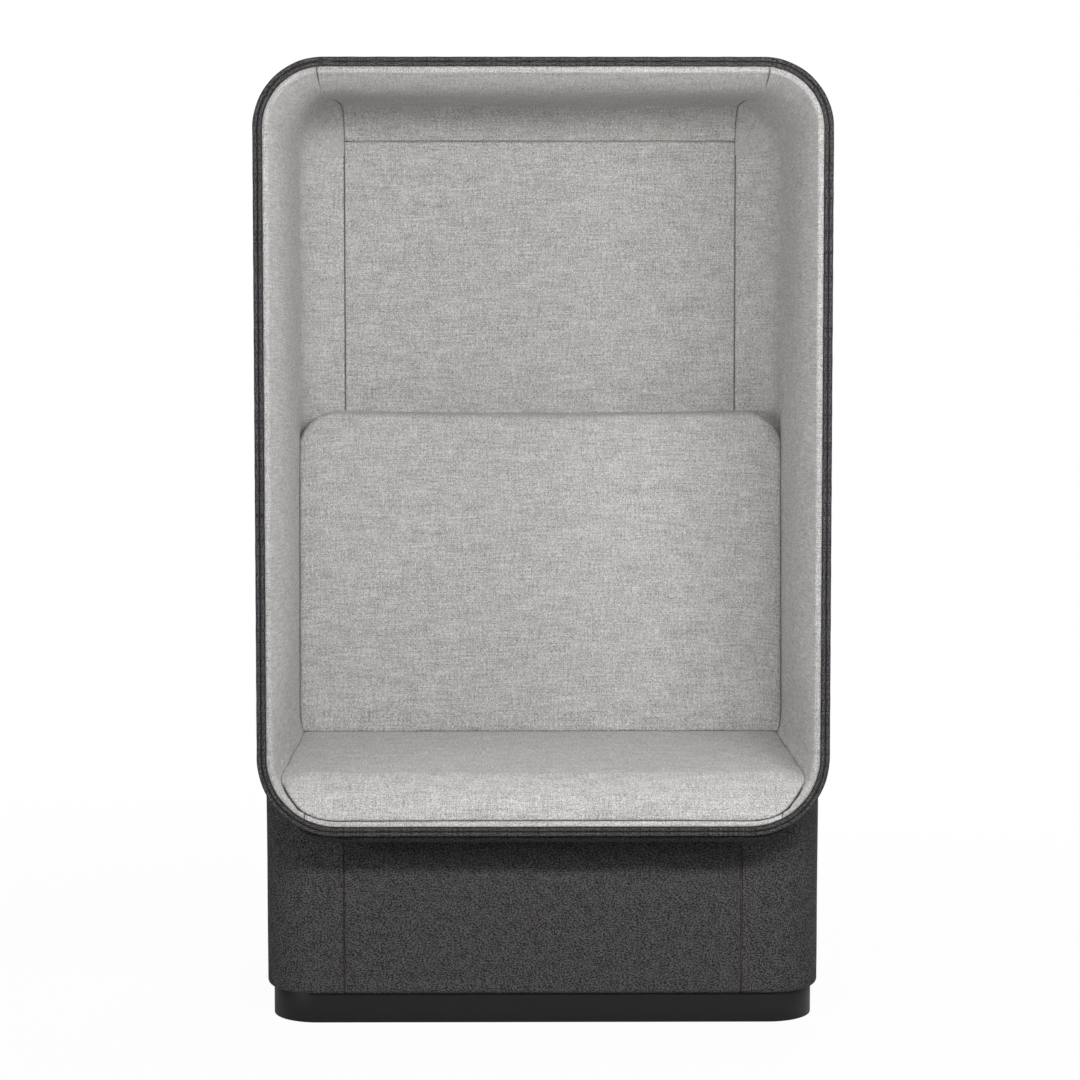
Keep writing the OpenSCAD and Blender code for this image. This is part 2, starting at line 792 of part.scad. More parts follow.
function pad_half(half_w, face, crown) =
    let (arc_x = half_w - pad_arc_r)
    concat(
        [for (i = [0:pad_arc_steps]) let (a = 90 * i / pad_arc_steps)
            [arc_x + pad_arc_r * sin(a), back_start + pad_arc_r * cos(a)]],
        [for (i = [0:pad_edge_steps]) let (a = 90 * i / pad_edge_steps)
            [half_w - pad_soft_r * (1 - cos(a)), face + pad_soft_r * (1 - sin(a))]],
        [for (i = [1:pad_face_steps]) let (share = 1 - i / pad_face_steps)
            [(half_w - pad_soft_r) * share, face - crown * (1 - pow(share, 2))]]
    );

// Height, half width, depth of the face and crown of each ring
function pad_station(height, soft) =
    let (rise = (height - pad_low) / pad_h)
    let (above = max(0, height - pad_high + pad_corner_r) / pad_corner_r)
    let (below = max(0, bottom_r + 2 * grip_t - height))
    let (room = corner_x + sqrt(pow(seat_corner_r, 2) - pow(below, 2)))
    let (widest = min(pad_arc_x + pad_arc_r, room) - pad_draw * sin(180 * rise))
    let (thick = pad_low_t + (pad_high_t - pad_low_t) * rise)
    [
        height,
        widest - pad_corner_r * (1 - sqrt(max(0, 1 - pow(above * pad_corner_share, 2)))),
        pad_rear - thick + pad_soft_r * soft,
        pad_crown * sin(180 * max(pad_crown_share, min(1 - pad_crown_share, rise)))
    ];

function pad_stations() = concat(
    [for (i = [0:pad_ring_lows]) let (a = 90 * i / pad_ring_lows)
        pad_station(pad_low + pad_soft_r * (1 - cos(a)), 1 - sin(a))],
    [for (i = [1:pad_ring_mids]) let (share = i / pad_ring_mids)
        pad_station(pad_low + pad_soft_r + (pad_h - pad_soft_r - pad_corner_r) * share, 0)],
    [for (i = [1:pad_ring_highs]) let (rise = sin(90 * i / pad_ring_highs))
        let (from_top = pad_corner_r * (1 - rise))
        pad_station(pad_high - from_top,
            1 - sqrt(1 - pow(max(0, 1 - from_top / pad_soft_r), 2)))]
);

module back_cushion() {
    color(wool_grey) place_tub() difference() {
        skinned([for (s = pad_stations())
            [for (p = mirrored(pad_half(s[1], s[2], s[3]))) [p.x, s[0], -p.y]]]);
        tub_box(-pad_board_x, pad_board_x, pad_low + pad_rim_w, pad_high - pad_rim_w,
            pad_rear - insert_board_t, pad_rear + over);
    }
}

module back_cushion_board() {
    color(board_tan) place_tub() tub_box(-pad_board_x + soft_gap, pad_board_x - soft_gap,
        pad_low + pad_rim_w + soft_gap, pad_high - pad_rim_w - soft_gap,
        pad_rear - insert_board_t, pad_rear);
}

module back_grip_strips() {
    color(strap_brown) place_tub() for (share = pad_grip_shares) {
        middle = pad_low + pad_h * share;
        tub_box(-grip_l / 2, grip_l / 2, middle - grip_w / 2, middle + grip_w / 2, pad_rear, tub_d - wall);
    }
}

plinth();
foot_blocks();
foot_inserts();
block_screws();
foot_front_left();
foot_front_right();
foot_back_left();
foot_back_right();
base_floor();
base_rail_front();
base_rail_back();
base_rail_left();
base_rail_right();
base_posts_front();
base_posts_back();
base_deck();
cradle_left();
cradle_right();
cradle_back();
base_felt_front();
base_felt_left();
base_felt_right();
base_felt_back();
shell_floor();
shell_left();
shell_right();
shell_top();
shell_back();
felt_floor();
felt_left();
felt_right();
felt_top();
felt_back();
foam_floor();
foam_left();
foam_right();
foam_top();
foam_back();
lining_floor();
lining_left();
lining_right();
lining_top();
lining_back();
rim_welt_outer();
rim_welt_inner();
rim_lining_roll();
under_rim_roll();
tub_bolts();
tub_washers();
tub_nuts();
seat_straps();
seat_grip_strips();
seat_cushion_board();
seat_cushion();
back_grip_strips();
back_cushion_board();
back_cushion();
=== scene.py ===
import json
import math

import bpy
import numpy as np
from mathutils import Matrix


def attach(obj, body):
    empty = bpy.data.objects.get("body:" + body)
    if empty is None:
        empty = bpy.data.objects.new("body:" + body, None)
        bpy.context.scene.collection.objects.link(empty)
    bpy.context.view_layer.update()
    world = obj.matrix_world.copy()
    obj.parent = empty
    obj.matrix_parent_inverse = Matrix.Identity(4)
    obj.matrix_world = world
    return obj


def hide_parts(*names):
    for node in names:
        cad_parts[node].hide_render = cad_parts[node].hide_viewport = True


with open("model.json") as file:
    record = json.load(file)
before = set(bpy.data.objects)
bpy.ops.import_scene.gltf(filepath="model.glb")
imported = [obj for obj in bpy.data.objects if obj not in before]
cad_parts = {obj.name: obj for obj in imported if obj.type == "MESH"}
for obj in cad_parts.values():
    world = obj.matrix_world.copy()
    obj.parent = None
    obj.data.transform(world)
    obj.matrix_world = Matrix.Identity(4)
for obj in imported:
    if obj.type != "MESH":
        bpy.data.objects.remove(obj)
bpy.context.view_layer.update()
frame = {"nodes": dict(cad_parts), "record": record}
nodes = frame["nodes"]
print("frame loaded:", len(nodes), "nodes")

# Camera, set to the photograph's viewing angle
view = {"place": (-0.040, -4.911, 1.265), "down": 5.9, "right": 0.437, "lens": 97.47, "film": 36}

lens = bpy.data.cameras.new("camera")
lens.lens = view["lens"]
lens.sensor_width = view["film"]
camera = bpy.data.objects.new("camera", lens)
camera.location = view["place"]
camera.rotation_euler = (math.radians(90 - view["down"]), 0, math.radians(-view["right"]))
bpy.context.scene.collection.objects.link(camera)
bpy.context.scene.camera = camera

# The tub: its outline seen from the front, its wall, its rims and how far it leans back
tub = {
    "width": 0.900,
    "height": 1.215,
    "depth": 0.742,
    "topRadius": 0.110,
    "bottomRadius": 0.125,
    "backRadius": 0.100,
    "wall": 0.025,
    "lean": 1.9,
    "frontY": -0.389308,
    "underZ": 0.329,
}
# The base: a rounded block under the tub
base = {
    "width": 0.900,
    "length": 0.64784,
    "frontY": -0.289308,
    "frontRadius": 0.085,
    "rearRadius": 0.100,
    "underZ": 0.050,
}
tubOutline = (tub["width"], tub["height"], tub["bottomRadius"], tub["topRadius"])
baseOutline = (base["width"], base["length"], base["frontRadius"], base["rearRadius"])
roundStart = tub["depth"] - tub["backRadius"]
leanCos = math.cos(math.radians(tub["lean"]))
leanSin = math.sin(math.radians(tub["lean"]))
foldShares = np.array([0, 0.06, 0.2, 0.42, 0.7, 1.0])  # places of the close steps over a sewn edge
quarter, wholeTurn = math.pi / 2, 2 * math.pi
unevenWaves = ((23, 9, 1), (-13, 31, 2), (47, 41, 3))  # radians to a metre each way, and times the shift
hair = 1e-5  # steps nearer than this are one step
tiny = 1e-9  # keeps a length from being zero where it divides
steep = 1e-4  # the tub's round back edge is followed to this far before it stands upright


# How far a value has come from a start over a length: 0 to 1
def ramp(value, start, length):
    return np.clip((value - start) / length, 0, 1)


# How much is left of a value before its end: 1 down to 0 over a length
def fadeOut(value, end, length):
    return np.clip((end - value) / length, 0, 1)


# A share with a soft start and end: s^2 (3 - 2 s)
def smooth(share):
    return share * share * (3 - 2 * share)


# From across, up the tub and into the tub to the room: turned by the lean, then set on the base
def toRoom(u, v, w):
    y = tub["frontY"] + w * leanCos + v * leanSin
    z = tub["underZ"] + v * leanCos - w * leanSin
    return np.stack(np.broadcast_arrays(u, y, z), axis=-1)


# The same turn backwards: how far up and into the tub a point of the room lies
def toTub(y, z):
    v = (z - tub["underZ"]) * leanCos + (y - tub["frontY"]) * leanSin
    w = (y - tub["frontY"]) * leanCos - (z - tub["underZ"]) * leanSin
    return v, w


# Lengths along a rounded rectangle at which a side or a corner starts,
# from the middle of its low side
def outlineMarks(outline):
    width, height, low, high = outline
    side = height - low - high
    half = [width / 2 - low, low * quarter, side, high * quarter]
    return np.concatenate([[0], np.cumsum(half + [width - 2 * high] + half[::-1])])


# A point on a rounded rectangle: the corner's centre plus (radius - inset) along the normal,
# where on a straight side the centre slides and the normal keeps its angle
def outlineAt(along, inset, outline):
    width, height, low, high = outline
    a = width / 2 - low
    b = width / 2 - high
    marks = outlineMarks(outline)
    turns = np.radians([-90, -90, 0, 0, 90, 90, 180, 180, 270, 270])
    angle = np.interp(along, marks, turns)
    centreX = np.interp(along, marks, [0, a, a, b, b, -b, -b, -a, -a, 0])
    centreY = np.interp(along, marks, [low] * 3 + [height - high] * 4 + [low] * 3)
    radius = np.interp(along, marks, [low] * 3 + [high] * 4 + [low] * 3)
    return centreX + (radius - inset) * np.cos(angle), centreY + (radius - inset) * np.sin(angle)


# Steps along part of a rounded rectangle: about one length on the sides, finer round the corners
def outlineSteps(outline, straight, corner, start=0.0, end=None):
    marks = outlineMarks(outline)
    end = marks[-1] if end is None else end
    stops = []
    for i, (first, last) in enumerate(zip(marks[:-1], marks[1:])):
        count = max(1, math.ceil((last - first) / (corner if i % 2 else straight)))
        stops.append(np.linspace(first, last, count, endpoint=False))
    stops = np.concatenate(stops)
    inside = stops[(stops > start + hair) & (stops < end - hair)]
    return np.concatenate([[start], inside, [end]])


# Steps from a to b with a few close ones at each end, where a sewn edge turns under
def edgeSteps(a, b, step, turn, low=True, high=True):
    close = turn * foldShares
    first = a + close if low else np.array([a])
    last = b - close[::-1] if high else np.array([b])
    count = max(2, math.ceil((last[0] - first[-1]) / step) + 1)
    return np.concatenate([first, np.linspace(first[-1], last[0], count)[1:-1], last])


# How far a sewn edge sinks at a distance from its seam: a quarter circle of the radius turn
def sink(distance, turn):
    left = np.clip(turn - distance, 0, turn)
    return turn - np.sqrt(turn ** 2 - left ** 2)


# Painted shade in a seam's groove, over the same distance: 1 at the seam down to 0
def groove(distance, turn):
    return fadeOut(distance, turn, turn)


# Slow unevenness of a cover over its wall: crossing waves, at most the size given in all
def unevenness(a, b, size, shift=0.0):
    waves = [np.sin(p * a + q * b + k * shift) for p, q, k in unevenWaves]
    return size / len(waves) * sum(waves)


# Grid of points to a mesh of quads. Where a grid closes on itself its last row or column joins
# the first. towards is a way that the middle of the sheet faces; a closed grid is turned by its
# volume instead. closed says so of the rows and of the columns, and caps fills the first and last
# row. marks are named values for the finish to read: the shade mark is painted shade, from 1 in a
# sewn groove or other shaded place down to 0 on the open cloth, and awayWeft and awayWarp are 1
# where those threads run in from the opening
def gridMesh(name, points, uv=None, closed=(False, False), towards=None, caps=False, marks=None):
    rows, columns = points.shape[:2]
    mapped = uv is not None
    uv = uv if mapped else np.zeros((rows + 1, columns + 1, 2))
    r = np.arange(rows if closed[0] else rows - 1)
    c = np.arange(columns if closed[1] else columns - 1)
    r, c = np.meshgrid(r, c, indexing="ij")
    r, c = r.ravel(), c.ravel()
    corners = [(r, c), (r + 1, c), (r + 1, c + 1), (r, c + 1)]
    quads = np.stack([(a % rows) * columns + b % columns for a, b in corners], axis=-1)
    quadUv = np.stack([uv[a, b] for a, b in corners], axis=1)
    flat = points.reshape(-1, 3)
    if towards is None:
        p = flat[quads]
        first = np.cross(p[:, 1] - p[:, 0], p[:, 2] - p[:, 0])
        second = np.cross(p[:, 2] - p[:, 0], p[:, 3] - p[:, 0])
        turned = (p[:, 0] * (first + second)).sum() < 0
    else:
        across = columns - 1
        middle = flat[quads[(len(r) // across // 2) * across + across // 2]]
        turned = np.dot(np.cross(middle[2] - middle[0], middle[3] - middle[1]), towards) < 0
    if turned:
        quads = quads[:, ::-1]
        quadUv = quadUv[:, ::-1]
    faces = quads.tolist()
    faceUv = quadUv.reshape(-1, 2)
    if caps:
        ring = np.arange(columns)
        first, last = ring[::-1], ring + (rows - 1) * columns
        if turned:
            first, last = first[::-1], last[::-1]
        faces += [first.tolist(), last.tolist()]
        capUv = np.concatenate([uv[0, :columns][first % columns], uv[-1, :columns][last % columns]])
        faceUv = np.concatenate([faceUv, capUv])
    mesh = bpy.data.meshes.new(name)
    mesh.from_pydata(flat.tolist(), [], faces)
    if mapped:
        setClothMap(mesh, faceUv)
    for key, values in (marks or {}).items():
        setMark(mesh, key, np.broadcast_to(values, (rows, columns)).ravel())
    mesh.update()
    return mesh


# Cloth map in metres, at the corners of the faces
def setClothMap(mesh, uv):
    layer = mesh.uv_layers.new(name="cloth")
    layer.data.foreach_set("uv", uv.astype(np.float32).ravel())


# A named value at each point of a mesh
def setMark(mesh, key, values):
    mark = mesh.attributes.new(key, "FLOAT", "POINT")
    mark.data.foreach_set("value", values.astype(np.float32))


# Places of a mesh's points, or directions of its faces, as rows of three
def readRows(items, what):
    values = np.zeros(len(items) * 3)
    items.foreach_get(what, values)
    return values.reshape(-1, 3)


def addObject(name, data):
    piece = bpy.data.objects.new(name, data)
    bpy.context.scene.collection.objects.link(piece)
    return piece


# Gives a piece its finish and puts it on the chair in place of the CAD nodes
def dress(piece, finish, replaced):
    piece.data.materials.clear()
    piece.data.materials.append(finish)
    piece.data.polygons.foreach_set("use_smooth", np.ones(len(piece.data.polygons), bool))
    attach(piece, "chair")
    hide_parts(*replaced)


# A piece of a mesh, with a thickness behind its face where it is a sheet
def addPiece(name, mesh, finish, replaced, thick=0.0):
    piece = addObject(name, mesh)
    if thick:
        wall = piece.modifiers.new("thickness", "SOLIDIFY")
        wall.thickness = thick
        wall.offset = -1
        wall.use_even_offset = False
    dress(piece, finish, replaced)


# A node with its settings and its inputs: an input is a number, a colour or another node's output
def addNode(tree, kind, inputs=None, **settings):
    made = tree.nodes.new(kind)
    for key, value in settings.items():
        setattr(made, key, value)
    for key, value in (inputs or {}).items():
        if isinstance(value, bpy.types.NodeSocket):
            tree.links.new(value, made.inputs[key])
        else:
            made.inputs[key].default_value = value
    return made


def addMath(tree, operation, *values):
    return addNode(tree, "ShaderNodeMath", dict(enumerate(values)), operation=operation).outputs[0]


# Noise stretched over a vector: patches to a metre each way, shift, detail and roughness
def stretchedNoise(tree, vector, patches, shift=0.0, detail=1.0, roughness=0.5):
    place = {"Vector": vector, "Location": (shift,) * 3, "Scale": patches}
    scaled = addNode(tree, "ShaderNodeMapping", place).outputs[0]
    look = {"Vector": scaled, "Scale": 1.0, "Detail": detail, "Roughness": roughness}
    return addNode(tree, "ShaderNodeTexNoise", look).outputs[0]


# A share of the way from one colour to another; the mix node numbers its colour sockets 6, 7 and 2
def mixColours(tree, share, first, second):
    mixed = addNode(tree, "ShaderNodeMix", {0: share, 6: first, 7: second}, data_type="RGBA")
    return mixed.outputs[2]


# The share set against a middle: middle + (share - middle) * contrast, held between 0 and 1
def contrasted(tree, share, middle, contrast):
    centred = addMath(tree, "SUBTRACT", share, middle)
    inputs = {0: centred, 1: contrast, 2: middle}
    return addNode(tree, "ShaderNodeMath", inputs, operation="MULTIPLY_ADD", use_clamp=True).outputs[0]


# value = start + the sum of (noise - 0.5) * weight
def weighted(tree, start, pairs):
    total = start
    for noise, weight in pairs:
        centred = addMath(tree, "SUBTRACT", noise, 0.5)
        total = addMath(tree, "MULTIPLY_ADD", centred, weight, total)
    return total


# A group with named inputs and their first values, where None is a vector, a row is a colour and a
# number is a number. It puts out a colour, and a height where one is asked for
def newGroup(name, inputs, outputs=("Color", "Height")):
    tree = bpy.data.node_groups.new(name, "ShaderNodeTree")
    for label, value in inputs.items():
        kind = "Vector" if value is None else "Color" if isinstance(value, tuple) else "Float"
        socket = tree.interface.new_socket(name=label, in_out="INPUT", socket_type="NodeSocket" + kind)
        if value is not None:
            socket.default_value = value
    for label in outputs:
        kind = "Color" if label == "Color" else "Float"
        tree.interface.new_socket(name=label, in_out="OUTPUT", socket_type="NodeSocket" + kind)
    return tree, tree.nodes.new("NodeGroupInput").outputs, tree.nodes.new("NodeGroupOutput").inputs


# Layers of the weave, the felt and the wood: weight, then patches to a metre, shift, detail and
# roughness
weaveLayers = (
    (1.0, (230, 820, 1), 3.1, 1.0, 0.5),
    (0.9, (820, 230, 1), 7.7, 1.0, 0.5),
    (2.6, (760, 760, 1), 23.0, 2.0, 0.8),
    (0.3, (28, 34, 1), 31.0, 3.0, 0.6),
)
thickThreads = (("Thick Weft", (26, 520, 1), 11.3), ("Thick Warp", (520, 26, 1), 17.9))
feltLayers = (
    (1.0, (260, 540, 1), 5.0, 1.0, 0.5),
    (1.8, (560, 560, 1), 13.0, 2.0, 0.8),
    (0.35, (60, 60, 1), 19.0, 2.0, 0.6),
)
turnedFibres = {"turn": 0.8, "patches": (540, 260, 1), "shift": 9.0, "weight": 1.0}
hueDrift = {"patches": (210, 210, 1), "shift": 27.0, "most": 0.5}
weaveMiddle, feltMiddle, woodMiddle = 0.5, 0.42, 0.5
woodLayers = (
    (1.3, (9, 160, 160), 0.0, 3.0, 0.65),
    (0.7, (120, 900, 900), 5.0, 1.0, 0.5),
)
woodPlies = {"bands": 110.0, "waver": 0.4, "weight": 0.25}
grainDetail = 2.0
grainSmudges = {"patches": 14.0, "detail": 4.0}
shadePower = 1.5


# Crossed woollen threads: fine streaks both ways, a few thick threads, specks and a slow cloudiness
def makeWeaveGroup():
    colours = {"Vector": None, "Dark": (0.2, 0.2, 0.2, 1), "Light": (0.6, 0.6, 0.6, 1)}
    weights = {"Contrast": 1.0, "Thick Weft": 0.5, "Thick Warp": 0.4}
    tree, given, out = newGroup("woolWeave", {**colours, **weights})
    vector = given["Vector"]
    pairs = [(stretchedNoise(tree, vector, *layer), weight) for weight, *layer in weaveLayers]
    pairs += [(stretchedNoise(tree, vector, *layer), given[key]) for key, *layer in thickThreads]
    threads = weighted(tree, weaveMiddle, pairs)
    value = contrasted(tree, threads, weaveMiddle, given["Contrast"])
    tree.links.new(mixColours(tree, value, given["Dark"], given["Light"]), out["Color"])
    tree.links.new(threads, out["Height"])
    return tree


# Pressed felt: short pale fibres lying every way over a dark ground, with a faint drift of hue
def makeFeltGroup():
    colours = {"Dark": (0.02, 0.02, 0.02, 1), "Light": (0.1, 0.1, 0.1, 1), "Tint": (0.06, 0.05, 0.06, 1)}
    tree, given, out = newGroup("feltFibres", {"Vector": None, **colours, "Contrast": 1.0})
    vector = given["Vector"]
    turn = {"Vector": vector, "Rotation": (0, 0, turnedFibres["turn"])}
    turned = addNode(tree, "ShaderNodeMapping", turn).outputs[0]
    across = stretchedNoise(tree, turned, turnedFibres["patches"], turnedFibres["shift"])
    pairs = [(stretchedNoise(tree, vector, *layer), weight) for weight, *layer in feltLayers]
    pairs.insert(1, (across, turnedFibres["weight"]))
    threads = weighted(tree, feltMiddle, pairs)
    value = contrasted(tree, threads, feltMiddle, given["Contrast"])
    mixed = mixColours(tree, value, given["Dark"], given["Light"])
    hue = stretchedNoise(tree, vector, hueDrift["patches"], hueDrift["shift"])
    tint = addMath(tree, "MULTIPLY", hue, hueDrift["most"])
    tree.links.new(mixColours(tree, tint, mixed, given["Tint"]), out["Color"])
    tree.links.new(threads, out["Height"])
    return tree


# Plywood seen from any side: thin plies across the grain, long grain lines and a few darker pores
def makeWoodGroup():
    colours = {"Dark": (0.3, 0.2, 0.1, 1), "Light": (0.6, 0.45, 0.3, 1)}
    tree, given, out = newGroup("woodGrain", {"Vector": None, **colours})
    vector = given["Vector"]
    pairs = [(stretchedNoise(tree, vector, *layer), weight) for weight, *layer in woodLayers]
    bands = {"Vector": vector, "Scale": woodPlies["bands"], "Distortion": woodPlies["waver"]}
    plies = addNode(tree, "ShaderNodeTexWave", bands, bands_direction="Z").outputs["Fac"]
    value = weighted(tree, woodMiddle, pairs + [(plies, woodPlies["weight"])])
    value = addNode(tree, "ShaderNodeClamp", {"Value": value}).outputs[0]
    tree.links.new(mixColours(tree, value, given["Dark"], given["Light"]), out["Color"])
    tree.links.new(value, out["Height"])
    return tree


# Small marks over an even finish: fine grain for mouldings and plating, cells for foam
def makeGrainGroup():
    colours = {"Dark": (0.2, 0.2, 0.2, 1), "Light": (0.3, 0.3, 0.3, 1)}
    tree, given, out = newGroup("fineGrain", {"Vector": None, **colours, "Scale": 900.0, "Smudge": 0.5})
    vector = given["Vector"]
    small = {"Vector": vector, "Scale": given["Scale"], "Detail": grainDetail}
    large = {"Vector": vector, "Scale": grainSmudges["patches"], "Detail": grainSmudges["detail"]}
    fine = addNode(tree, "ShaderNodeTexNoise", small).outputs[0]
    broad = addNode(tree, "ShaderNodeTexNoise", large).outputs[0]
    smudges = addMath(tree, "MULTIPLY", addMath(tree, "SUBTRACT", broad, 0.5), given["Smudge"])
    both = {0: fine, 1: smudges}
    value = addNode(tree, "ShaderNodeMath", both, operation="ADD", use_clamp=True).outputs[0]
    tree.links.new(mixColours(tree, value, given["Dark"], given["Light"]), out["Color"])
    tree.links.new(fine, out["Height"])
    return tree


# Painted shade in sewn grooves and other shaded places: colour * (1 - depth * mark ^ power)
def makePaintedShadeGroup():
    inputs = {"Color": (0.5, 0.5, 0.5, 1), "Painted Shade": 0.0, "Depth": 0.9}
    tree, given, out = newGroup("paintedShade", inputs, ["Color"])
    narrow = addMath(tree, "POWER", given["Painted Shade"], shadePower)
    share = addMath(tree, "MULTIPLY", narrow, given["Depth"])
    tree.links.new(mixColours(tree, share, given["Color"], (0, 0, 0, 1)), out["Color"])
    return tree


paintedShade = makePaintedShadeGroup()
woolWeave, feltFibres = makeWeaveGroup(), makeFeltGroup()
woodGrain, fineGrain = makeWoodGroup(), makeGrainGroup()

# What each finish is made of: its group and the group's values, its bump as strength and height, and
# the plain values of its shader
clothLook = {"Roughness": 0.95, "Specular IOR Level": 0.15, "Sheen Roughness": 0.45}
finishes = {
    "wool": {
        "group": woolWeave,
        "values": {"Dark": (0.205, 0.200, 0.193, 1), "Light": (0.845, 0.830, 0.815, 1), "Contrast": 1.22},
        "bump": (0.6, 0.0004),
        "shader": {**clothLook, "Sheen Weight": 0.12},
    },
    "felt": {
        "group": feltFibres,
        "values": {
            "Dark": (0.004, 0.004, 0.0042, 1),
            "Light": (0.119, 0.117, 0.120, 1),
            "Tint": (0.050, 0.043, 0.048, 1),
            "Contrast": 4.9,
        },
        "bump": (0.6, 0.0004),
        "shader": {**clothLook, "Sheen Weight": 0.05},
    },
    "plinthBlack": {
        "group": fineGrain,
        "values": {"Dark": (0.006,) * 3 + (1,), "Light": (0.011,) * 3 + (1,), "Scale": 700.0, "Smudge": 0.4},
        "bump": (0.08, 0.0001),
        "shader": {"Roughness": 0.42, "Specular IOR Level": 0.35},
    },
    "plywood": {
        "group": woodGrain,
        "values": {"Dark": (0.42, 0.27, 0.14, 1), "Light": (0.72, 0.56, 0.38, 1)},
        "bump": (0.25, 0.0003),
        "shader": {"Roughness": 0.62, "Specular IOR Level": 0.35},
    },
    "foam": {
        "group": fineGrain,
        "values": {
            "Dark": (0.62, 0.56, 0.42, 1),
            "Light": (0.86, 0.82, 0.70, 1),
            "Scale": 650.0,
            "Smudge": 0.8,
        },
        "bump": (0.7, 0.0006),
        "shader": {"Roughness": 0.95, "Specular IOR Level": 0.1},
    },
    "zincSteel": {
        "group": fineGrain,
        "values": {
            "Dark": (0.42, 0.43, 0.44, 1),
            "Light": (0.66, 0.67, 0.69, 1),
            "Scale": 500.0,
            "Smudge": 0.9,
        },
        "bump": (0.15, 0.0001),
        "shader": {"Roughness": 0.34, "Metallic": 1.0},
    },
    "blackNylon": {
        "group": fineGrain,
        "values": {"Dark": (0.012,) * 3 + (1,), "Light": (0.030,) * 3 + (1,), "Scale": 1500.0, "Smudge": 0.5},
        "bump": (0.3, 0.0002),
        "shader": {"Roughness": 0.5, "Specular IOR Level": 0.5},
    },
    "webbing": {
        "group": woolWeave,
        "values": {"Dark": (0.10, 0.07, 0.04, 1), "Light": (0.34, 0.26, 0.17, 1), "Contrast": 1.0},
        "bump": (0.6, 0.0005),
        "shader": {"Roughness": 0.85, "Specular IOR Level": 0.2},
    },
}
onCloth = ("wool", "felt", "plinthBlack")  # these follow the cloth map, the others the piece's place
shadeDepth = 0.92
# Seen edge on, the threads that run away from the viewer show most: the weight is plain + more * mark
awayThreads = (("Thick Weft", "awayWeft", 0.5, 0.3), ("Thick Warp", "awayWarp", 0.4, 0.3))


# A finish: its group, the painted shade on the cloth maps, its bump, and one plain shader
def makeFinish(name):
    parts = finishes[name]
    finish = bpy.data.materials.new(name)
    finish.use_nodes = True
    tree = finish.node_tree
    tree.nodes.clear()
    if name in onCloth:
        vector = addNode(tree, "ShaderNodeUVMap", uv_map="cloth").outputs[0]
    else:
        vector = addNode(tree, "ShaderNodeTexCoord").outputs["Object"]
    given = {"Vector": vector, **parts["values"]}
    if name == "wool":
        for key, mark, plain, more in awayThreads:
            along = addNode(tree, "ShaderNodeAttribute", attribute_name=mark).outputs["Fac"]
            given[key] = addMath(tree, "MULTIPLY_ADD", along, more, plain)
    pattern = addNode(tree, "ShaderNodeGroup", given, node_tree=parts["group"]).outputs
    strength, height = parts["bump"]
    relief = {"Height": pattern["Height"], "Strength": strength, "Distance": height}
    raised = addNode(tree, "ShaderNodeBump", relief).outputs[0]
    colour = pattern["Color"]
    if name in onCloth:
        # painted shade: the shade mark darkens the cloth's colour in grooves and shaded places
        shadeMark = addNode(tree, "ShaderNodeAttribute", attribute_name="shadeMark").outputs["Fac"]
        seams = {"Color": colour, "Painted Shade": shadeMark, "Depth": shadeDepth}
        colour = addNode(tree, "ShaderNodeGroup", seams, node_tree=paintedShade).outputs[0]
    look = {**parts["shader"], "Base Color": colour, "Normal": raised}
    skin = addNode(tree, "ShaderNodeBsdfPrincipled", look)
    addNode(tree, "ShaderNodeOutputMaterial", {"Surface": skin.outputs[0]})
    return finish


made = {name: makeFinish(name) for name in finishes}
wool, felt, plinthBlack = made["wool"], made["felt"], made["plinthBlack"]
bySlot = {
    "felt": felt,
    "wool": wool,
    "foam": made["foam"],
    "board": made["plywood"],
    "plinth": plinthBlack,
    "steel": made["zincSteel"],
    "foot_plastic": made["blackNylon"],
    "webbing": made["webbing"],
}
for part in frame["record"]["subparts"]:
    shown = nodes[part["node"]]
    shown.data.materials.clear()
    shown.data.materials.append(bySlot[part["material_slot"]])
print("finishes made")

# Covers of the tub's wall. Depth is measured from the outside face of the wall
cover = {
    "seamX": 0.350,
    "seamTop": 1.132,
    "seamLow": 0.376,
    "turn": 0.0024,
    "gap": 0.00025,
    "liningThick": 0.0024,
    "feltThick": 0.0029,
    "liningStart": 0.0145,
    "weltStart": 0.0075,
    "rollRadius": 0.010,
    "rollInset": 0.015,
    "uneven": 0.0003,
    "crossShift": 4.0,
    "backShift": 8.0,
    "crossCloth": 3.0,
    "evenAtRoll": 0.03,
    "swell": 0.011,
    "swellRise": 0.130,
    "swellFall": 0.430,
    "flatBelow": 0.12,
    "fullAfter": 0.16,
    "ceilingMore": 1.7,
    "topBow": 0.011,
    "lowSeamMoves": (0.06, 0.25),
    "shutAt": 0.40,
    "shutHalf": 0.14,
    "shutMost": 0.9,
    "lowShowsAfter": 0.12,
    "awayFrom": (0.03, 0.08),
    "awayUntil": (0.60, 0.14),
    "beadShade": 0.5,
    "floorShade": 0.26,
    "backUneven": 0.00048,
    "topRows": (0.03, 7),
    "flattest": 0.03,
    "rollSteps": 9,
    "runSteps": 33,
    "sideSteps": 50,
    "cornerStep": 0.006,
    "edgeStep": 0.007,
    "step": 0.020,
    "wideStep": 0.025,
}


# The padding swells behind the rim and thins again before the cushion:
# S (1 - (1 - w / L)^2), then a smooth fall. It lies flat beside the seat
def padding(into, v):
    rise = ramp(into, 0, cover["swellRise"])
    fall = ramp(into, cover["swellRise"], cover["swellFall"])
    above = ramp(v, cover["flatBelow"], cover["fullAfter"])
    return cover["swell"] * (1 - (1 - rise) ** 2) * (1 - smooth(fall)) * smooth(above)


# Where a cover starts: the distance in from the felt's face, the depth, and the radius of its roll
def coverStart(outer):
    if outer:
        return 0.0, cover["weltStart"], 0.0
    return tub["wall"], cover["liningStart"], cover["rollRadius"]


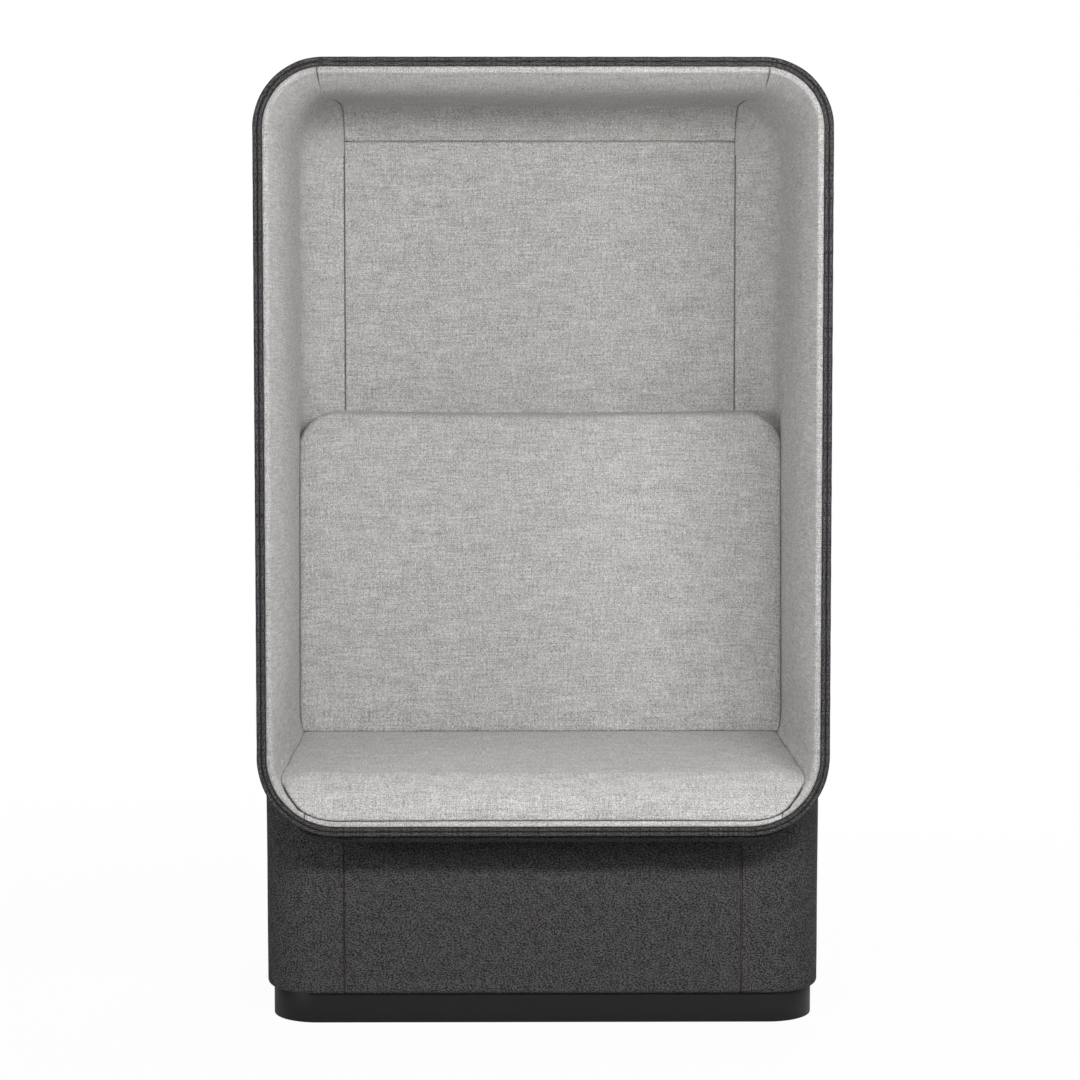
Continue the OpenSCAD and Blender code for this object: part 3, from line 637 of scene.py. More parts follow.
# Inset and depth into the tub of a line along the wall: round the front roll, straight back,
# round the back edge. roll and edge are angles, run a length:
# inset = R0 + (d - R0) sin(roll) + (R - d)(1 - cos(edge))
def wallLine(along, d, start, rollRadius):
    rollLength = rollRadius * quarter
    run = roundStart - start
    roll = np.clip(along / rollRadius, 0, quarter) if rollRadius else quarter
    straight = np.clip(along - rollLength, 0, run)
    nominal = tub["backRadius"] - (tub["wall"] if rollRadius else 0)
    edge = np.clip(along - rollLength - run, 0, None) / nominal
    inner = cover["rollInset"] if rollRadius else 0
    inset = inner + (d - inner) * np.sin(roll) + (tub["backRadius"] - d) * (1 - np.cos(edge))
    into = start - (d - inner) * np.cos(roll) * (rollRadius > 0)
    into = into + straight + (tub["backRadius"] - d) * np.sin(edge)
    return inset, into


# Length of that line up to an angle round the back edge
def lineLength(start, rollRadius, angle):
    nominal = tub["backRadius"] - (tub["wall"] if rollRadius else 0)
    return rollRadius * quarter + roundStart - start + nominal * angle


# Steps along that line: the roll, the straight run and the round edge each at their own pace
def lineSteps(start, rollRadius, angle):
    rollEnd = rollRadius * quarter
    runEnd = rollEnd + roundStart - start
    end = lineLength(start, rollRadius, angle)
    parts = [np.linspace(0, rollEnd, cover["rollSteps"])[:-1]] if rollRadius else []
    parts.append(np.linspace(rollEnd, runEnd, cover["runSteps"])[:-1])
    parts.append(edgeSteps(runEnd, end, cover["edgeStep"], cover["turn"], False))
    return np.concatenate(parts)


# Half width of the ceiling between its seams at a depth: it bows out between the rim and the back
def ceilingHalf(into):
    return cover["seamX"] + cover["topBow"] * np.sin(math.pi * ramp(into, 0, roundStart)) ** 2


# Half width of the floor between its seams at a depth: wider at the rim than under the seat
def floorHalf(into):
    back = smooth(ramp(into, *cover["lowSeamMoves"]))
    return cover["seamX"] + (cover["seamLow"] - cover["seamX"]) * (1 - back)


# How much of a seam's painted shade shows: the left ceiling seam is pulled shut half way in,
# the low ones in front
def seamShows(u, v, into):
    middle = tub["height"] / 2
    shut = fadeOut(np.abs(into - cover["shutAt"]), cover["shutHalf"], cover["shutHalf"])
    low = fadeOut(into, cover["lowShowsAfter"], cover["lowShowsAfter"])
    shut, low = shut * (u < 0) * (v > middle), low * (v < middle)
    return 1 - np.clip(2 * shut, 0, cover["shutMost"]) - low


# Where the lining runs straight back, between its front roll and its round back edge
def runsAway(into):
    return ramp(into, *cover["awayFrom"]) * fadeOut(into, *cover["awayUntil"])


# Painted shade on the lining's front roll, darker where it goes in under the beads
def shadeUnderBeads(along, shade):
    rollEnd = cover["rollRadius"] * quarter
    return shade * fadeOut(along, rollEnd, rollEnd)


# Distance of the cover's face in from the outside of the wall: sunk at its seams, a little uneven,
# and on the lining swelled
def coverFace(outer, along, edge, wave, swelled):
    sunk = sink(edge, cover["turn"])
    if outer:
        return sunk + wave
    return tub["wall"] - sunk + wave * ramp(along, 0, cover["evenAtRoll"]) + swelled


# Side cover. Across the wall it goes round the low corner, up the side and round the top corner:
# an angle from the low seam to 0, a straight run, and an angle from 0 to the top seam
def sideCover(side, outer):
    turn = cover["turn"]
    d0, start, rollRadius = coverStart(outer)
    along = lineSteps(start, rollRadius, quarter)
    end = along[-1]
    low, high = tub["bottomRadius"], tub["topRadius"]
    sideRun = tub["height"] - low - high
    lowArc, highArc = low * quarter, high * quarter
    sideEnd = lowArc + sideRun
    across = np.concatenate(
        [
            edgeSteps(0, lowArc, cover["cornerStep"], turn, True, False)[:-1],
            np.linspace(lowArc, sideEnd, cover["sideSteps"])[:-1],
            edgeSteps(sideEnd, sideEnd + highArc, cover["cornerStep"], turn, False, True),
        ]
    )
    across, along = np.meshgrid(across, along, indexing="ij")
    plainInset, plainInto = wallLine(along, d0, start, rollRadius)
    lowSeam = cover["gap"] + (cover["seamX"] if outer else floorHalf(plainInto))
    highSeam = cover["gap"] + (cover["seamX"] if outer else ceilingHalf(plainInto))
    half = tub["width"] / 2
    lowTurn = np.arccos(np.clip((lowSeam - half + low) / (low - plainInset), -1, 1))
    highTurn = np.arccos(np.clip((highSeam - half + high) / (high - plainInset), -1, 1))
    lowShare = ramp(across, 0, lowArc)
    highShare = ramp(across, sideEnd, highArc)
    sideShare = ramp(across, lowArc, sideRun)
    edge = np.minimum(np.minimum(across, across.max() - across), end - along)
    wave = unevenness(across, along, cover["uneven"], side)
    swelled = padding(plainInto - start, across - lowArc + low)
    swelled = swelled * (1 + (cover["ceilingMore"] - 1) * smooth(highShare))
    inset, into = wallLine(along, coverFace(outer, along, edge, wave, swelled), start, rollRadius)
    angle = highTurn * highShare - lowTurn * (1 - lowShare)
    radius = low + (high - low) * sideShare
    u = side * (half - low + (low - high) * sideShare + (radius - inset) * np.cos(angle))
    v = low + sideRun * sideShare + (radius - inset) * np.sin(angle)
    points = toRoom(u, v, into)
    uv = np.stack([side * along, across], axis=-1)
    shadeMark = groove(edge, turn)
    if outer:
        return points, uv, {"shadeMark": shadeMark}
    shadeMark = np.maximum(shadeMark * seamShows(u, v, into), shadeUnderBeads(along, cover["beadShade"]))
    return points, uv, {"shadeMark": shadeMark, "awayWeft": runsAway(into)}


# Height of the top or the floor of the wall at an inset: its corner's circle, or flat between them
def crossHeight(u, inset, top):
    radius = tub["topRadius"] if top else tub["bottomRadius"]
    outside = np.clip(np.abs(u) - tub["width"] / 2 + radius, 0, radius - inset)
    rise = np.sqrt(np.clip((radius - inset) ** 2 - outside ** 2, 0, None))
    return tub["height"] - radius + rise if top else radius - rise


# Top or floor cover: across from seam to seam, and along the wall's line as the side covers
def crossCover(top, outer, angle):
    turn = cover["turn"]
    d0, start, rollRadius = coverStart(outer)
    along = lineSteps(start, rollRadius, angle)
    share = edgeSteps(-0.5, 0.5, cover["wideStep"], turn / (2 * cover["seamX"]))
    share, along = np.meshgrid(share, along, indexing="ij")
    plainInto = wallLine(along, d0, start, rollRadius)[1]
    half = cover["seamX"]
    if not outer:
        half = ceilingHalf(plainInto) if top else floorHalf(plainInto)
    half = half - cover["gap"]
    u = 2 * half * share
    edge = np.minimum(half - np.abs(u), along[:, -1:] - along)
    wave = unevenness(u, along, cover["uneven"], cover["crossShift"] + top)
    swelled = padding(plainInto - start, tub["height"]) * top * cover["ceilingMore"]
    inset, into = wallLine(along, coverFace(outer, along, edge, wave, swelled), start, rollRadius)
    height = crossHeight(u, inset, top)
    points = toRoom(u, height, into)
    uv = np.stack([u, along + cover["crossCloth"]], axis=-1)
    shadeMark = groove(edge, turn)
    if outer:
        return points, uv, {"shadeMark": shadeMark}
    shade = cover["beadShade"] if top else cover["floorShade"]
    shadeMark = np.maximum(shadeMark * seamShows(u, height, into), shadeUnderBeads(along, shade))
    return points, uv, {"shadeMark": shadeMark, "awayWarp": runsAway(into)}


# Back cover: a depth over across and up, flat, and round where it comes within the radius of the
# top or the floor
def backCover(outer, lowV, highV):
    turn = cover["turn"]
    d0 = 0.0 if outer else tub["wall"]
    half = cover["seamX"] - cover["gap"]
    u = edgeSteps(-half, half, cover["step"], turn)
    v = edgeSteps(lowV, highV - cover["gap"], cover["step"], turn)
    extra = highV - np.linspace(0, *cover["topRows"])[1:]
    v = np.unique(np.concatenate([v, extra]))
    u, v = np.meshgrid(u, v, indexing="ij")
    edge = np.minimum(half - np.abs(u), np.minimum(v - lowV, highV - cover["gap"] - v))
    edge = np.clip(edge, 0, None)
    sunk = sink(edge, turn)
    wave = unevenness(u, v, cover["backUneven"], cover["backShift"])
    d = d0 + (sunk if outer else -sunk) + wave
    radius = tub["backRadius"]
    reach = radius - np.minimum(np.minimum(tub["height"] - v, v), radius)
    into = roundStart + np.sqrt((radius - d) ** 2 - np.clip(reach, 0, radius - cover["flattest"]) ** 2)
    return toRoom(u, v, into), np.stack([u, v], axis=-1), {"shadeMark": groove(edge, turn)}


seamRise = tub["backRadius"] - tub["height"] + cover["seamTop"]
liningAngle = math.acos(seamRise / (tub["backRadius"] - tub["wall"]))
backTop = tub["height"] - tub["backRadius"]
tubCovers = [
    ("lining_wrap_left", sideCover(-1, False), (1, 0, 0), ["lining_left"]),
    ("felt_wrap_left", sideCover(-1, True), (-1, 0, 0), ["felt_left"]),
    ("lining_wrap_right", sideCover(1, False), (-1, 0, 0), ["lining_right"]),
    ("felt_wrap_right", sideCover(1, True), (1, 0, 0), ["felt_right"]),
    ("lining_ceiling", crossCover(True, False, liningAngle), (0, 0, -1), ["lining_top", "rim_lining_roll"]),
    ("lining_seat_floor", crossCover(False, False, quarter), (0, 0, 1), ["lining_floor"]),
    ("felt_roof", crossCover(True, True, quarter), (0, 0, 1), ["felt_top"]),
    ("felt_under", crossCover(False, True, quarter), (0, 0, -1), ["felt_floor"]),
    ("lining_back_field", backCover(False, tub["backRadius"], cover["seamTop"]), (0, -1, 0), ["lining_back"]),
    ("felt_back_field", backCover(True, tub["backRadius"], backTop), (0, 1, 0), ["felt_back"]),
]
for name, (points, uv, marks), towards, replaced in tubCovers:
    outer = name.startswith("felt")
    finish, slotName = (felt, "felt") if outer else (wool, "wool")
    thick = cover["feltThick"] if outer else cover["liningThick"]
    mesh = gridMesh(name, points, uv, towards=towards, marks=marks)
    addPiece(name, mesh, finish, replaced, thick=thick)
print("covers of the tub made")

# The two felt beads round the opening, and the lip rolled under it. A bead has its place in from the
# outline, in radii, and the phase of its waves
rim = {
    "beads": (("outer", 1, 0.4), ("inner", 3, 2.1)),
    "radius": 0.00375,
    "squareness": 2.15,
    "uneven": 0.00018,
    "waves": (61, 97),
    "sideShadeFrom": 0.45,
    "around": 24,
    "step": 0.006,
    "cornerStep": 0.005,
}
lip = {
    "radius": 0.008,
    "out": 0.003,
    "into": 0.0155,
    "climb": 40.0,
    "fade": 26.0,
    "drawnBack": 0.95,
    "shade": 0.80,
    "steps": 220,
}


# A closed section carried round the opening: across = r |cos a|^(2/n) with its sign, deep = the
# same with sin. The centre stands an inset in from the outline and a depth behind the opening
def beadAround(inset, phase):
    along = outlineSteps(tubOutline, rim["step"], rim["cornerStep"])[:-1]
    length = outlineMarks(tubOutline)[-1]
    angle = np.linspace(0, wholeTurn, rim["around"], endpoint=False)
    s, a = np.meshgrid(along, angle, indexing="ij")
    turned = wholeTurn * s / length
    waves = np.sin(rim["waves"][0] * turned + phase) + np.sin(rim["waves"][1] * turned + 2 * phase + a)
    r = rim["radius"] + rim["uneven"] * waves / 2 - rim["uneven"] / 2
    power = 2 / rim["squareness"]
    acrossPart = np.sign(np.cos(a)) * np.abs(np.cos(a)) ** power * r
    deepPart = np.sign(np.sin(a)) * np.abs(np.sin(a)) ** power * r
    u, v = outlineAt(s, inset + acrossPart, tubOutline)
    points = toRoom(u, v, rim["radius"] + deepPart)
    alongUv = np.append(along, length)
    angleUv = np.linspace(0, wholeTurn, rim["around"] + 1) * rim["radius"]
    uv = np.stack(np.meshgrid(alongUv, angleUv, indexing="ij"), axis=-1)
    # painted shade on each bead's two sides, in the groove where the beads meet and at their edges
    shadeMark = ramp(np.abs(np.cos(a)), rim["sideShadeFrom"], 1 - rim["sideShadeFrom"])
    return points, uv, {"shadeMark": shadeMark}


for label, radii, phase in rim["beads"]:
    points, uv, marks = beadAround(radii * rim["radius"], phase)
    mesh = gridMesh("rim_bead_" + label, points, uv, (True, True), marks=marks)
    addPiece("rim_bead_" + label, mesh, felt, ["rim_welt_" + label])


# The lip: a circle carried along the low edge and up both corners, drawing back into the felt as
# it climbs. It lies under the beads, and all of it is darkened with painted shade
def lipUnderRim():
    marks = outlineMarks(tubOutline)
    reach = marks[1] + math.radians(lip["climb"]) * tub["bottomRadius"]
    along = np.linspace(-reach, reach, lip["steps"])
    angle = np.linspace(0, wholeTurn, rim["around"], endpoint=False)
    s, a = np.meshgrid(along, angle, indexing="ij")
    left = smooth(ramp(reach - np.abs(s), 0, math.radians(lip["fade"]) * tub["bottomRadius"]))
    out = lip["out"] - (1 - left) * (lip["out"] + lip["radius"] * lip["drawnBack"])
    u, v = outlineAt(np.mod(s, marks[-1]), -(out + lip["radius"] * np.cos(a)), tubOutline)
    points = toRoom(u, v, lip["into"] + lip["radius"] * np.sin(a))
    angleUv = np.linspace(0, wholeTurn, rim["around"] + 1) * lip["radius"]
    uv = np.stack(np.meshgrid(along, angleUv, indexing="ij"), axis=-1)
    # painted shade over the whole lip
    return points, uv, {"shadeMark": lip["shade"]}


points, uv, marks = lipUnderRim()
mesh = gridMesh("under_rim_lip", points, uv, (False, True), caps=True, marks=marks)
addPiece("under_rim_lip", mesh, felt, ["under_rim_roll"])
print("rim made")

# Felt round the base and the black plinth below it
skirt = {
    "turnIn": 0.028,
    "edgeRadius": 0.008,
    "hornTop": 0.098,
    "seamX": 0.320,
    "turn": 0.0024,
    "gap": 0.0002,
    "thick": 0.0029,
    "uneven": 0.0003,
    "shadowUnderTub": 0.48,
    "shadowFrom": (0.70, 0.12),
    "evenBelow": 0.125,
    "clothHeight": 0.28,
    "rounds": 5,
    "closeRoom": 1.2,
    "waveHeight": 0.25,
    "waveShift": 2.0,
    "leftSteps": 18,
    "upSteps": (4, 9, 26),
    "step": 0.02,
    "cornerStep": 0.006,
}
plinth = {
    "inset": 0.010,
    "thick": 0.018,
    "lowZ": 0.0008,
    "bevel": 0.0012,
    "bevelMiddle": 0.3,
    "step": 0.03,
    "cornerStep": 0.005,
}


# Height at which the tub's underside or its low corner stands over a point of the base. The height
# needs the depth and the depth the height, so a few rounds bring them together
def tubOver(x, y):
    z = np.full(np.shape(x), tub["underZ"])
    low, back = tub["bottomRadius"], tub["backRadius"]
    corner = tub["width"] / 2 - low
    for _ in range(skirt["rounds"]):
        into = toTub(y, z)[1]
        past = np.clip(into - roundStart, 0, back - steep)
        inset = back - np.sqrt(back ** 2 - past ** 2)
        outside = np.clip(np.abs(x) - corner, 0, low - inset)
        up = low - np.sqrt((low - inset) ** 2 - outside ** 2)
        up = np.minimum(up, skirt["hornTop"])
        z = tub["underZ"] + (up - (y - tub["frontY"]) * leanSin) / leanCos
    return z


# Base cover between two places on the outline: turned in below, round the low edge, then straight
# up to the tub. The front panel, which starts left of the middle, gets painted shadow close under the tub
def baseCover(start, end):
    turn = skirt["turn"]
    radius = skirt["edgeRadius"]
    length = outlineMarks(baseOutline)[-1]
    inside = max(start, 0), min(end, length)
    steps = outlineSteps(baseOutline, skirt["step"], skirt["cornerStep"], *inside)
    if start < 0:
        steps = np.concatenate([np.linspace(start, 0, skirt["leftSteps"])[:-1], steps])
    close = turn * foldShares
    room = turn * skirt["closeRoom"]
    inner = steps[(steps > start + room) & (steps < end - room)]
    steps = np.concatenate([start + close, inner, end - close[::-1]])
    under, bent, up = skirt["upSteps"]
    turnedIn = np.linspace(0, skirt["turnIn"] - radius, under)[:-1]
    arc = np.linspace(0, radius * quarter, bent)[:-1]
    rise = np.linspace(0, 1, up)
    line = np.concatenate([turnedIn, skirt["turnIn"] - radius + arc])
    arcEnd = skirt["turnIn"] - radius + radius * quarter
    s, t = np.meshgrid(steps, np.concatenate([line, arcEnd + rise]), indexing="ij")
    edge = np.minimum(s - start, end - s)
    sunk = sink(edge, turn)
    flat = np.clip(skirt["turnIn"] - t, radius, skirt["turnIn"])
    bend = np.clip((t - skirt["turnIn"] + radius) / radius, 0, quarter)
    share = np.clip(t - arcEnd, 0, 1)
    wave = unevenness(s, share * skirt["waveHeight"], skirt["uneven"], skirt["waveShift"])
    wave = wave * ramp(share, 0, skirt["evenBelow"])
    inset = flat - radius * np.sin(bend) + sunk * np.sin(bend) + wave
    x, y = outlineAt(np.mod(s, length), inset, baseOutline)
    y = y + base["frontY"]
    lowZ = base["underZ"] + radius * (1 - np.cos(bend)) + sunk * np.cos(bend)
    top = tubOver(x, y)
    z = lowZ + share * (top - lowZ)
    points = np.stack([x, y, z], axis=-1)
    uv = np.stack([s, np.minimum(t, arcEnd) + share * skirt["clothHeight"]], axis=-1)
    shadeMark = groove(edge, turn)
    # painted shadow of the tub's overhang on the top of the front panel
    if start < 0:
        shadeMark = np.maximum(shadeMark, skirt["shadowUnderTub"] * ramp(share, *skirt["shadowFrom"]))
    return points, uv, {"shadeMark": shadeMark}


baseMarks = outlineMarks(baseOutline)
seamFront = skirt["seamX"]
seamBack = baseMarks[4] + base["width"] / 2 - base["rearRadius"] - skirt["seamX"]
gap = skirt["gap"]
panels = [
    ("front", -seamFront + gap, seamFront - gap, (0, -1, 0)),
    ("right", seamFront + gap, seamBack - gap, (1, 0, 0)),
    ("back", seamBack + gap, baseMarks[-1] - seamBack - gap, (0, 1, 0)),
    ("left", baseMarks[-1] - seamBack + gap, baseMarks[-1] - seamFront - gap, (-1, 0, 0)),
]
for label, start, end, towards in panels:
    points, uv, marks = baseCover(start, end)
    mesh = gridMesh("base_cover_" + label, points, uv, towards=towards, marks=marks)
    addPiece("base_cover_" + label, mesh, felt, ["base_felt_" + label], thick=skirt["thick"])


# Plinth: an upright strip with four small bevels carried round the base's outline
def plinthRing():
    b = plinth["bevel"]
    near, far = plinth["inset"], plinth["inset"] + plinth["thick"]
    low, high = plinth["lowZ"], base["underZ"]
    c = b * plinth["bevelMiddle"]
    insets = np.array([near + b, near + c, near, near, near + c, near + b, far - b, far, far, far - b])
    heights = np.array([low, low + c, low + b, high - b, high - c, high, high, high - b, low + b, low])
    along = outlineSteps(baseOutline, plinth["step"], plinth["cornerStep"])[:-1]
    s, k = np.meshgrid(along, np.arange(len(insets)), indexing="ij")
    x, y = outlineAt(s, insets[k], baseOutline)
    points = np.stack([x, y + base["frontY"], heights[k]], axis=-1)
    ring = np.append(np.arange(len(insets)), 0)
    sides = np.hypot(np.diff(insets[ring]), np.diff(heights[ring]))
    lengths = np.concatenate([[0], np.cumsum(sides)])
    uv = np.stack(np.meshgrid(np.append(along, baseMarks[-1]), lengths, indexing="ij"), axis=-1)
    return points, uv


points, uv = plinthRing()
mesh = gridMesh("plinth_ring", points, uv, (True, True))
addPiece("plinth_ring", mesh, plinthBlack, ["plinth"])
print("base made")

# Cushions: where each stands in the tub, how round its edges are and how far its cover swells
seat = {
    "low": 0.0265,
    "top": 0.0895,
    "crown": 0.002,
    "front": 0.009,
    "back": 0.6416,
    "roll": 0.062,
    "lip": 0.012,
    "edge": 0.005,
    "cornerRadius": 0.1070,
    "spill": 0.0095,
    "spillDepth": 0.036,
    "spillEdge": (0.050, 0.025),
    "spillCorner": 0.85,
    "forward": 0.0075,
    "forwardDepth": 0.060,
    "forwardTop": (0.095, 0.03),
    "frontGap": 0.0011,
    "gapDepth": 0.04,
    "flatFrom": (0.54, 0.02),
    "lineDepth": 0.0036,
    "lineSoft": 0.00225,
    "lineUntil": (0.045, 0.02),
    "frontDim": 0.20,
    "dimUntil": (0.075, 0.05),
    "swell": 0.004,
    "voxel": 0.007,
    "pressure": 4.0,
    "ringSteps": (10, 6, 15),
    "lengthSteps": (9, 8, 5),
}
pad = {
    "low": 0.0785,
    "height": 0.5764,
    "rear": 0.715,
    "lowThick": 0.150,
    "highThick": 0.110,
    "arcX": 0.350,
    "arc": 0.0815,
    "soft": 0.012,
    "corner": 0.075,
    "crown": 0.010,
    "crownEnds": 0.02,
    "cornerShare": 0.97,
    "dip": 0.0035,
    "dipFrom": (0.40, 0.25),
    "dipHalf": 0.42,
    "swell": 0.004,
    "voxel": 0.007,
    "pressure": 4.0,
    "ringSteps": (9, 8, 16),
    "heightSteps": (7, 14, 14),
}
clearance = 0.0004
swellFrames, swellQuality = 20, 4
endsFrom = 0.8  # a face whose normal runs this much across is on a cushion's end


# From 0 to 1 in as many places, or without the first
def shares(count, first=True):
    return np.linspace(0, 1, count)[0 if first else 1:]


# The whole of a section from its right half
def bothHalves(u, other):
    u, other = np.concatenate(u), np.concatenate(other)
    return np.concatenate([u, -u[-2::-1]]), np.concatenate([other, other[-2::-1]])


# The seat's section: up the low corner's circle, round the edge, in over the crowned top
def seatRing(top, crown):
    low = tub["bottomRadius"]
    corner = tub["width"] / 2 - low
    big, edge = seat["cornerRadius"], seat["edge"]
    turn = np.arccos((low - top + edge) / big)
    up, bend, over = seat["ringSteps"]
    a = shares(up) * turn
    sideX = corner + big * math.sin(turn)
    e = shares(bend, False) * quarter
    share = 1 - shares(over, False)
    u = [corner + big * np.sin(a), sideX - edge * (1 - np.cos(e)), (sideX - edge) * share]
    v = [low - big * np.cos(a), top - edge * (1 - np.sin(e)), top + crown * (1 - share ** 3)]
    return bothHalves(u, v)


def seatShape():
    low = seat["low"] + seat["lip"] + seat["edge"]
    top, roll, edge, crown = seat["top"], seat["roll"], seat["edge"], seat["crown"]
    rollEnd = seat["front"] + roll
    rearStart = seat["back"] - edge
    rolled, flat, bend = seat["lengthSteps"]
    a = shares(rolled) * quarter
    f = shares(flat, False)[:-1]
    e = shares(bend) * quarter
    w = [rollEnd - roll * np.cos(a), rollEnd + (rearStart - rollEnd) * f, rearStart + edge * np.sin(e)]
    tops = [low + (top - low) * np.sin(a), np.full_like(f, top), top - edge * (1 - np.cos(e))]
    crowns = [crown * np.sin(a), np.full_like(f, crown), crown * np.cos(e)]
    rings = []
    for into, height, rise in zip(*map(np.concatenate, (w, tops, crowns))):
        u, v = seatRing(height, rise)
        rings.append(toRoom(u, v, np.full_like(u, into)))
    return np.array(rings)


# The back cushion's section at a height: round the rear arc, round the front edge, in over the
# crowned face
def padRing(halfWidth, face, crown):
    arcX = halfWidth - pad["arc"]
    rear, bend, over = pad["ringSteps"]
    a = shares(rear) * quarter
    e = shares(bend) * quarter
    share = 1 - shares(over, False)
    arc, soft = pad["arc"], pad["soft"]
    u = [arcX + arc * np.sin(a), halfWidth - soft * (1 - np.cos(e)), (halfWidth - soft) * share]
    w = [roundStart + arc * np.cos(a), face + soft * (1 - np.sin(e)), face - crown * (1 - share ** 2)]
    return bothHalves(u, w)


def padShape():
    low, high = pad["low"], pad["low"] + pad["height"]
    bend, straight, corner = pad["heightSteps"]
    a = shares(bend) * quarter
    upright = np.linspace(low + pad["soft"], high - pad["corner"], straight)[1:]
    fromTop = pad["corner"] * (1 - np.sin(shares(corner, False) * quarter))
    heights = [low + pad["soft"] * (1 - np.cos(a)), upright, high - fromTop]
    left = np.clip(1 - fromTop / pad["soft"], 0, 1)
    softs = [1 - np.sin(a), np.zeros_like(upright), 1 - np.sqrt(1 - left ** 2)]
    rings = []
    for height, soft in zip(np.concatenate(heights), np.concatenate(softs)):
        rise = (height - low) / pad["height"]
        above = max(0, height - high + pad["corner"]) / pad["corner"]
        drawnIn = 1 - math.sqrt(1 - (above * pad["cornerShare"]) ** 2)
        halfWidth = pad["arcX"] + pad["arc"] - pad["corner"] * drawnIn
        thick = pad["lowThick"] + (pad["highThick"] - pad["lowThick"]) * rise
        face = pad["rear"] - thick + pad["soft"] * soft
        ends = pad["crownEnds"]
        crown = pad["crown"] * math.sin(math.pi * min(max(rise, ends), 1 - ends))
        u, w = padRing(halfWidth, face, crown)
        rings.append(toRoom(u, np.full_like(u, height), w))
    return np.array(rings)


# Inset at which the tub's lining stands at a depth: its front roll, its padded wall, and its
# round back edge
def liningInset(v, w):
    r = cover["rollRadius"] + clearance
    roll = cover["rollInset"] + np.sqrt(np.clip(r ** 2 - (cover["liningStart"] - w) ** 2, 0, None))
    wall = tub["wall"] + clearance + padding(w - cover["liningStart"], v)
    r = tub["backRadius"] - tub["wall"] - clearance
    edge = tub["backRadius"] - np.sqrt(np.clip(r ** 2 - (w - roundStart) ** 2, 0, None))
    return np.where(w < cover["liningStart"], roll, np.where(w > roundStart, edge, wall))


# Distance in from the tub's low outline, and the way out to it
def outlineInset(u, v):
    low = tub["bottomRadius"]
    outX, outV = np.abs(u) - tub["width"] / 2 + low, low - v
    past = np.hypot(np.clip(outX, 0, None), np.clip(outV, 0, None))
    inset = low - past - np.minimum(np.maximum(outX, outV), 0)
    both = (outX > 0) & (outV > 0)
    wayX = np.where(both, outX / np.maximum(past, tiny), outX > outV)
    wayV = np.where(both, outV / np.maximum(past, tiny), outX <= outV)
    return inset, wayX * np.sign(u), -wayV


# The seat's front edge spills outwards over the lining's roll, most in the two low corners
def spillOver(u, v, w):
    inset, wayX, wayV = outlineInset(u, v)
    near = smooth(fadeOut(w, seat["spillDepth"], seat["spillDepth"]))
    push = seat["spill"] * near * fadeOut(inset, *seat["spillEdge"])
    push = push * (1 + seat["spillCorner"] * 2 * np.abs(wayX * wayV))
    near = fadeOut(w, seat["forwardDepth"], seat["forwardDepth"])
    forward = seat["forward"] * near * fadeOut(v, *seat["forwardTop"])
    return u + push * wayX, v + push * wayV, w - forward


# The back cushion's top edge lies lower in the middle than at its corners
def dipTop(u, v, w):
    rise = ramp(v, *pad["dipFrom"])
    return u, v - pad["dip"] * rise * rise * (1 - (u / pad["dipHalf"]) ** 2), w


# No point goes into the lining, into the seat under the back cushion, or up into the back cushion
# over the seat
def keepClear(u, v, w, under):
    inset, wayX, wayV = outlineInset(u, v)
    stand = seat["frontGap"] * fadeOut(w, seat["gapDepth"], seat["gapDepth"]) if under else 0
    need = np.clip(liningInset(v, w) + stand - inset, 0, None)
    u, v = u - need * wayX, v - need * wayV
    w = np.minimum(w, tub["depth"] - tub["wall"] - clearance)
    if under:
        below = ramp(w, *seat["flatFrom"])
        v = np.minimum(v, seat["top"] + seat["swell"] * (1 - below))
        w = np.minimum(w, seat["back"] + seat["swell"])
    else:
        low = tub["bottomRadius"]
        free = low - tub["wall"] - clearance
        side = tub["width"] / 2 - low + math.sqrt(free ** 2 - (low - seat["top"]) ** 2)
        past = np.clip(np.abs(u) - side + seat["edge"], 0, seat["edge"])
        fall = seat["edge"] - np.sqrt(seat["edge"] ** 2 - past ** 2)
        v = np.maximum(v, seat["top"] + clearance - fall)
    return u, v, w


# Even mesh over the first shape, blown up as cloth for some frames; a point then moves at most
# the swell: moved = start + way * swell * tanh(distance / swell)
def swellCover(piece, values, shapeMore, under):
    scene = bpy.context.scene
    bpy.context.view_layer.objects.active = piece
    remesh = piece.modifiers.new("even", "REMESH")
    remesh.mode = "VOXEL"
    remesh.voxel_size = values["voxel"]
    remesh.use_smooth_shade = True
    bpy.ops.object.modifier_apply(modifier="even")
    before = readRows(piece.data.vertices, "co")
    moved = before
    blown = piece.modifiers.new("cloth", "CLOTH")
    blown.settings.use_pressure = True
    blown.settings.uniform_pressure_force = values["pressure"]
    blown.settings.effector_weights.gravity = 0
    blown.settings.quality = swellQuality
    blown.point_cache.frame_start = 1
    blown.point_cache.frame_end = swellFrames
    for number in range(1, swellFrames + 1):
        scene.frame_set(number)
    bpy.ops.object.modifier_apply(modifier="cloth")
    scene.frame_set(1)
    way = readRows(piece.data.vertices, "co") - before
    distance = np.linalg.norm(way, axis=1, keepdims=True)
    way = way / np.maximum(distance, tiny)
    moved = before + way * values["swell"] * np.tanh(distance / values["swell"])
    print(piece.name, "swelled, mean", round(float(distance.mean()) * 1000, 2), "mm")
    v, w = toTub(moved[:, 1], moved[:, 2])
    u, v, w = keepClear(*shapeMore(moved[:, 0], v, w), under)
    piece.data.vertices.foreach_set("co", toRoom(u, v, w).astype(np.float32).ravel())
    piece.data.update()
    finer = piece.modifiers.new("finer", "SUBSURF")
    finer.levels = 1
    finer.render_levels = 1
    bpy.ops.object.modifier_apply(modifier="finer")


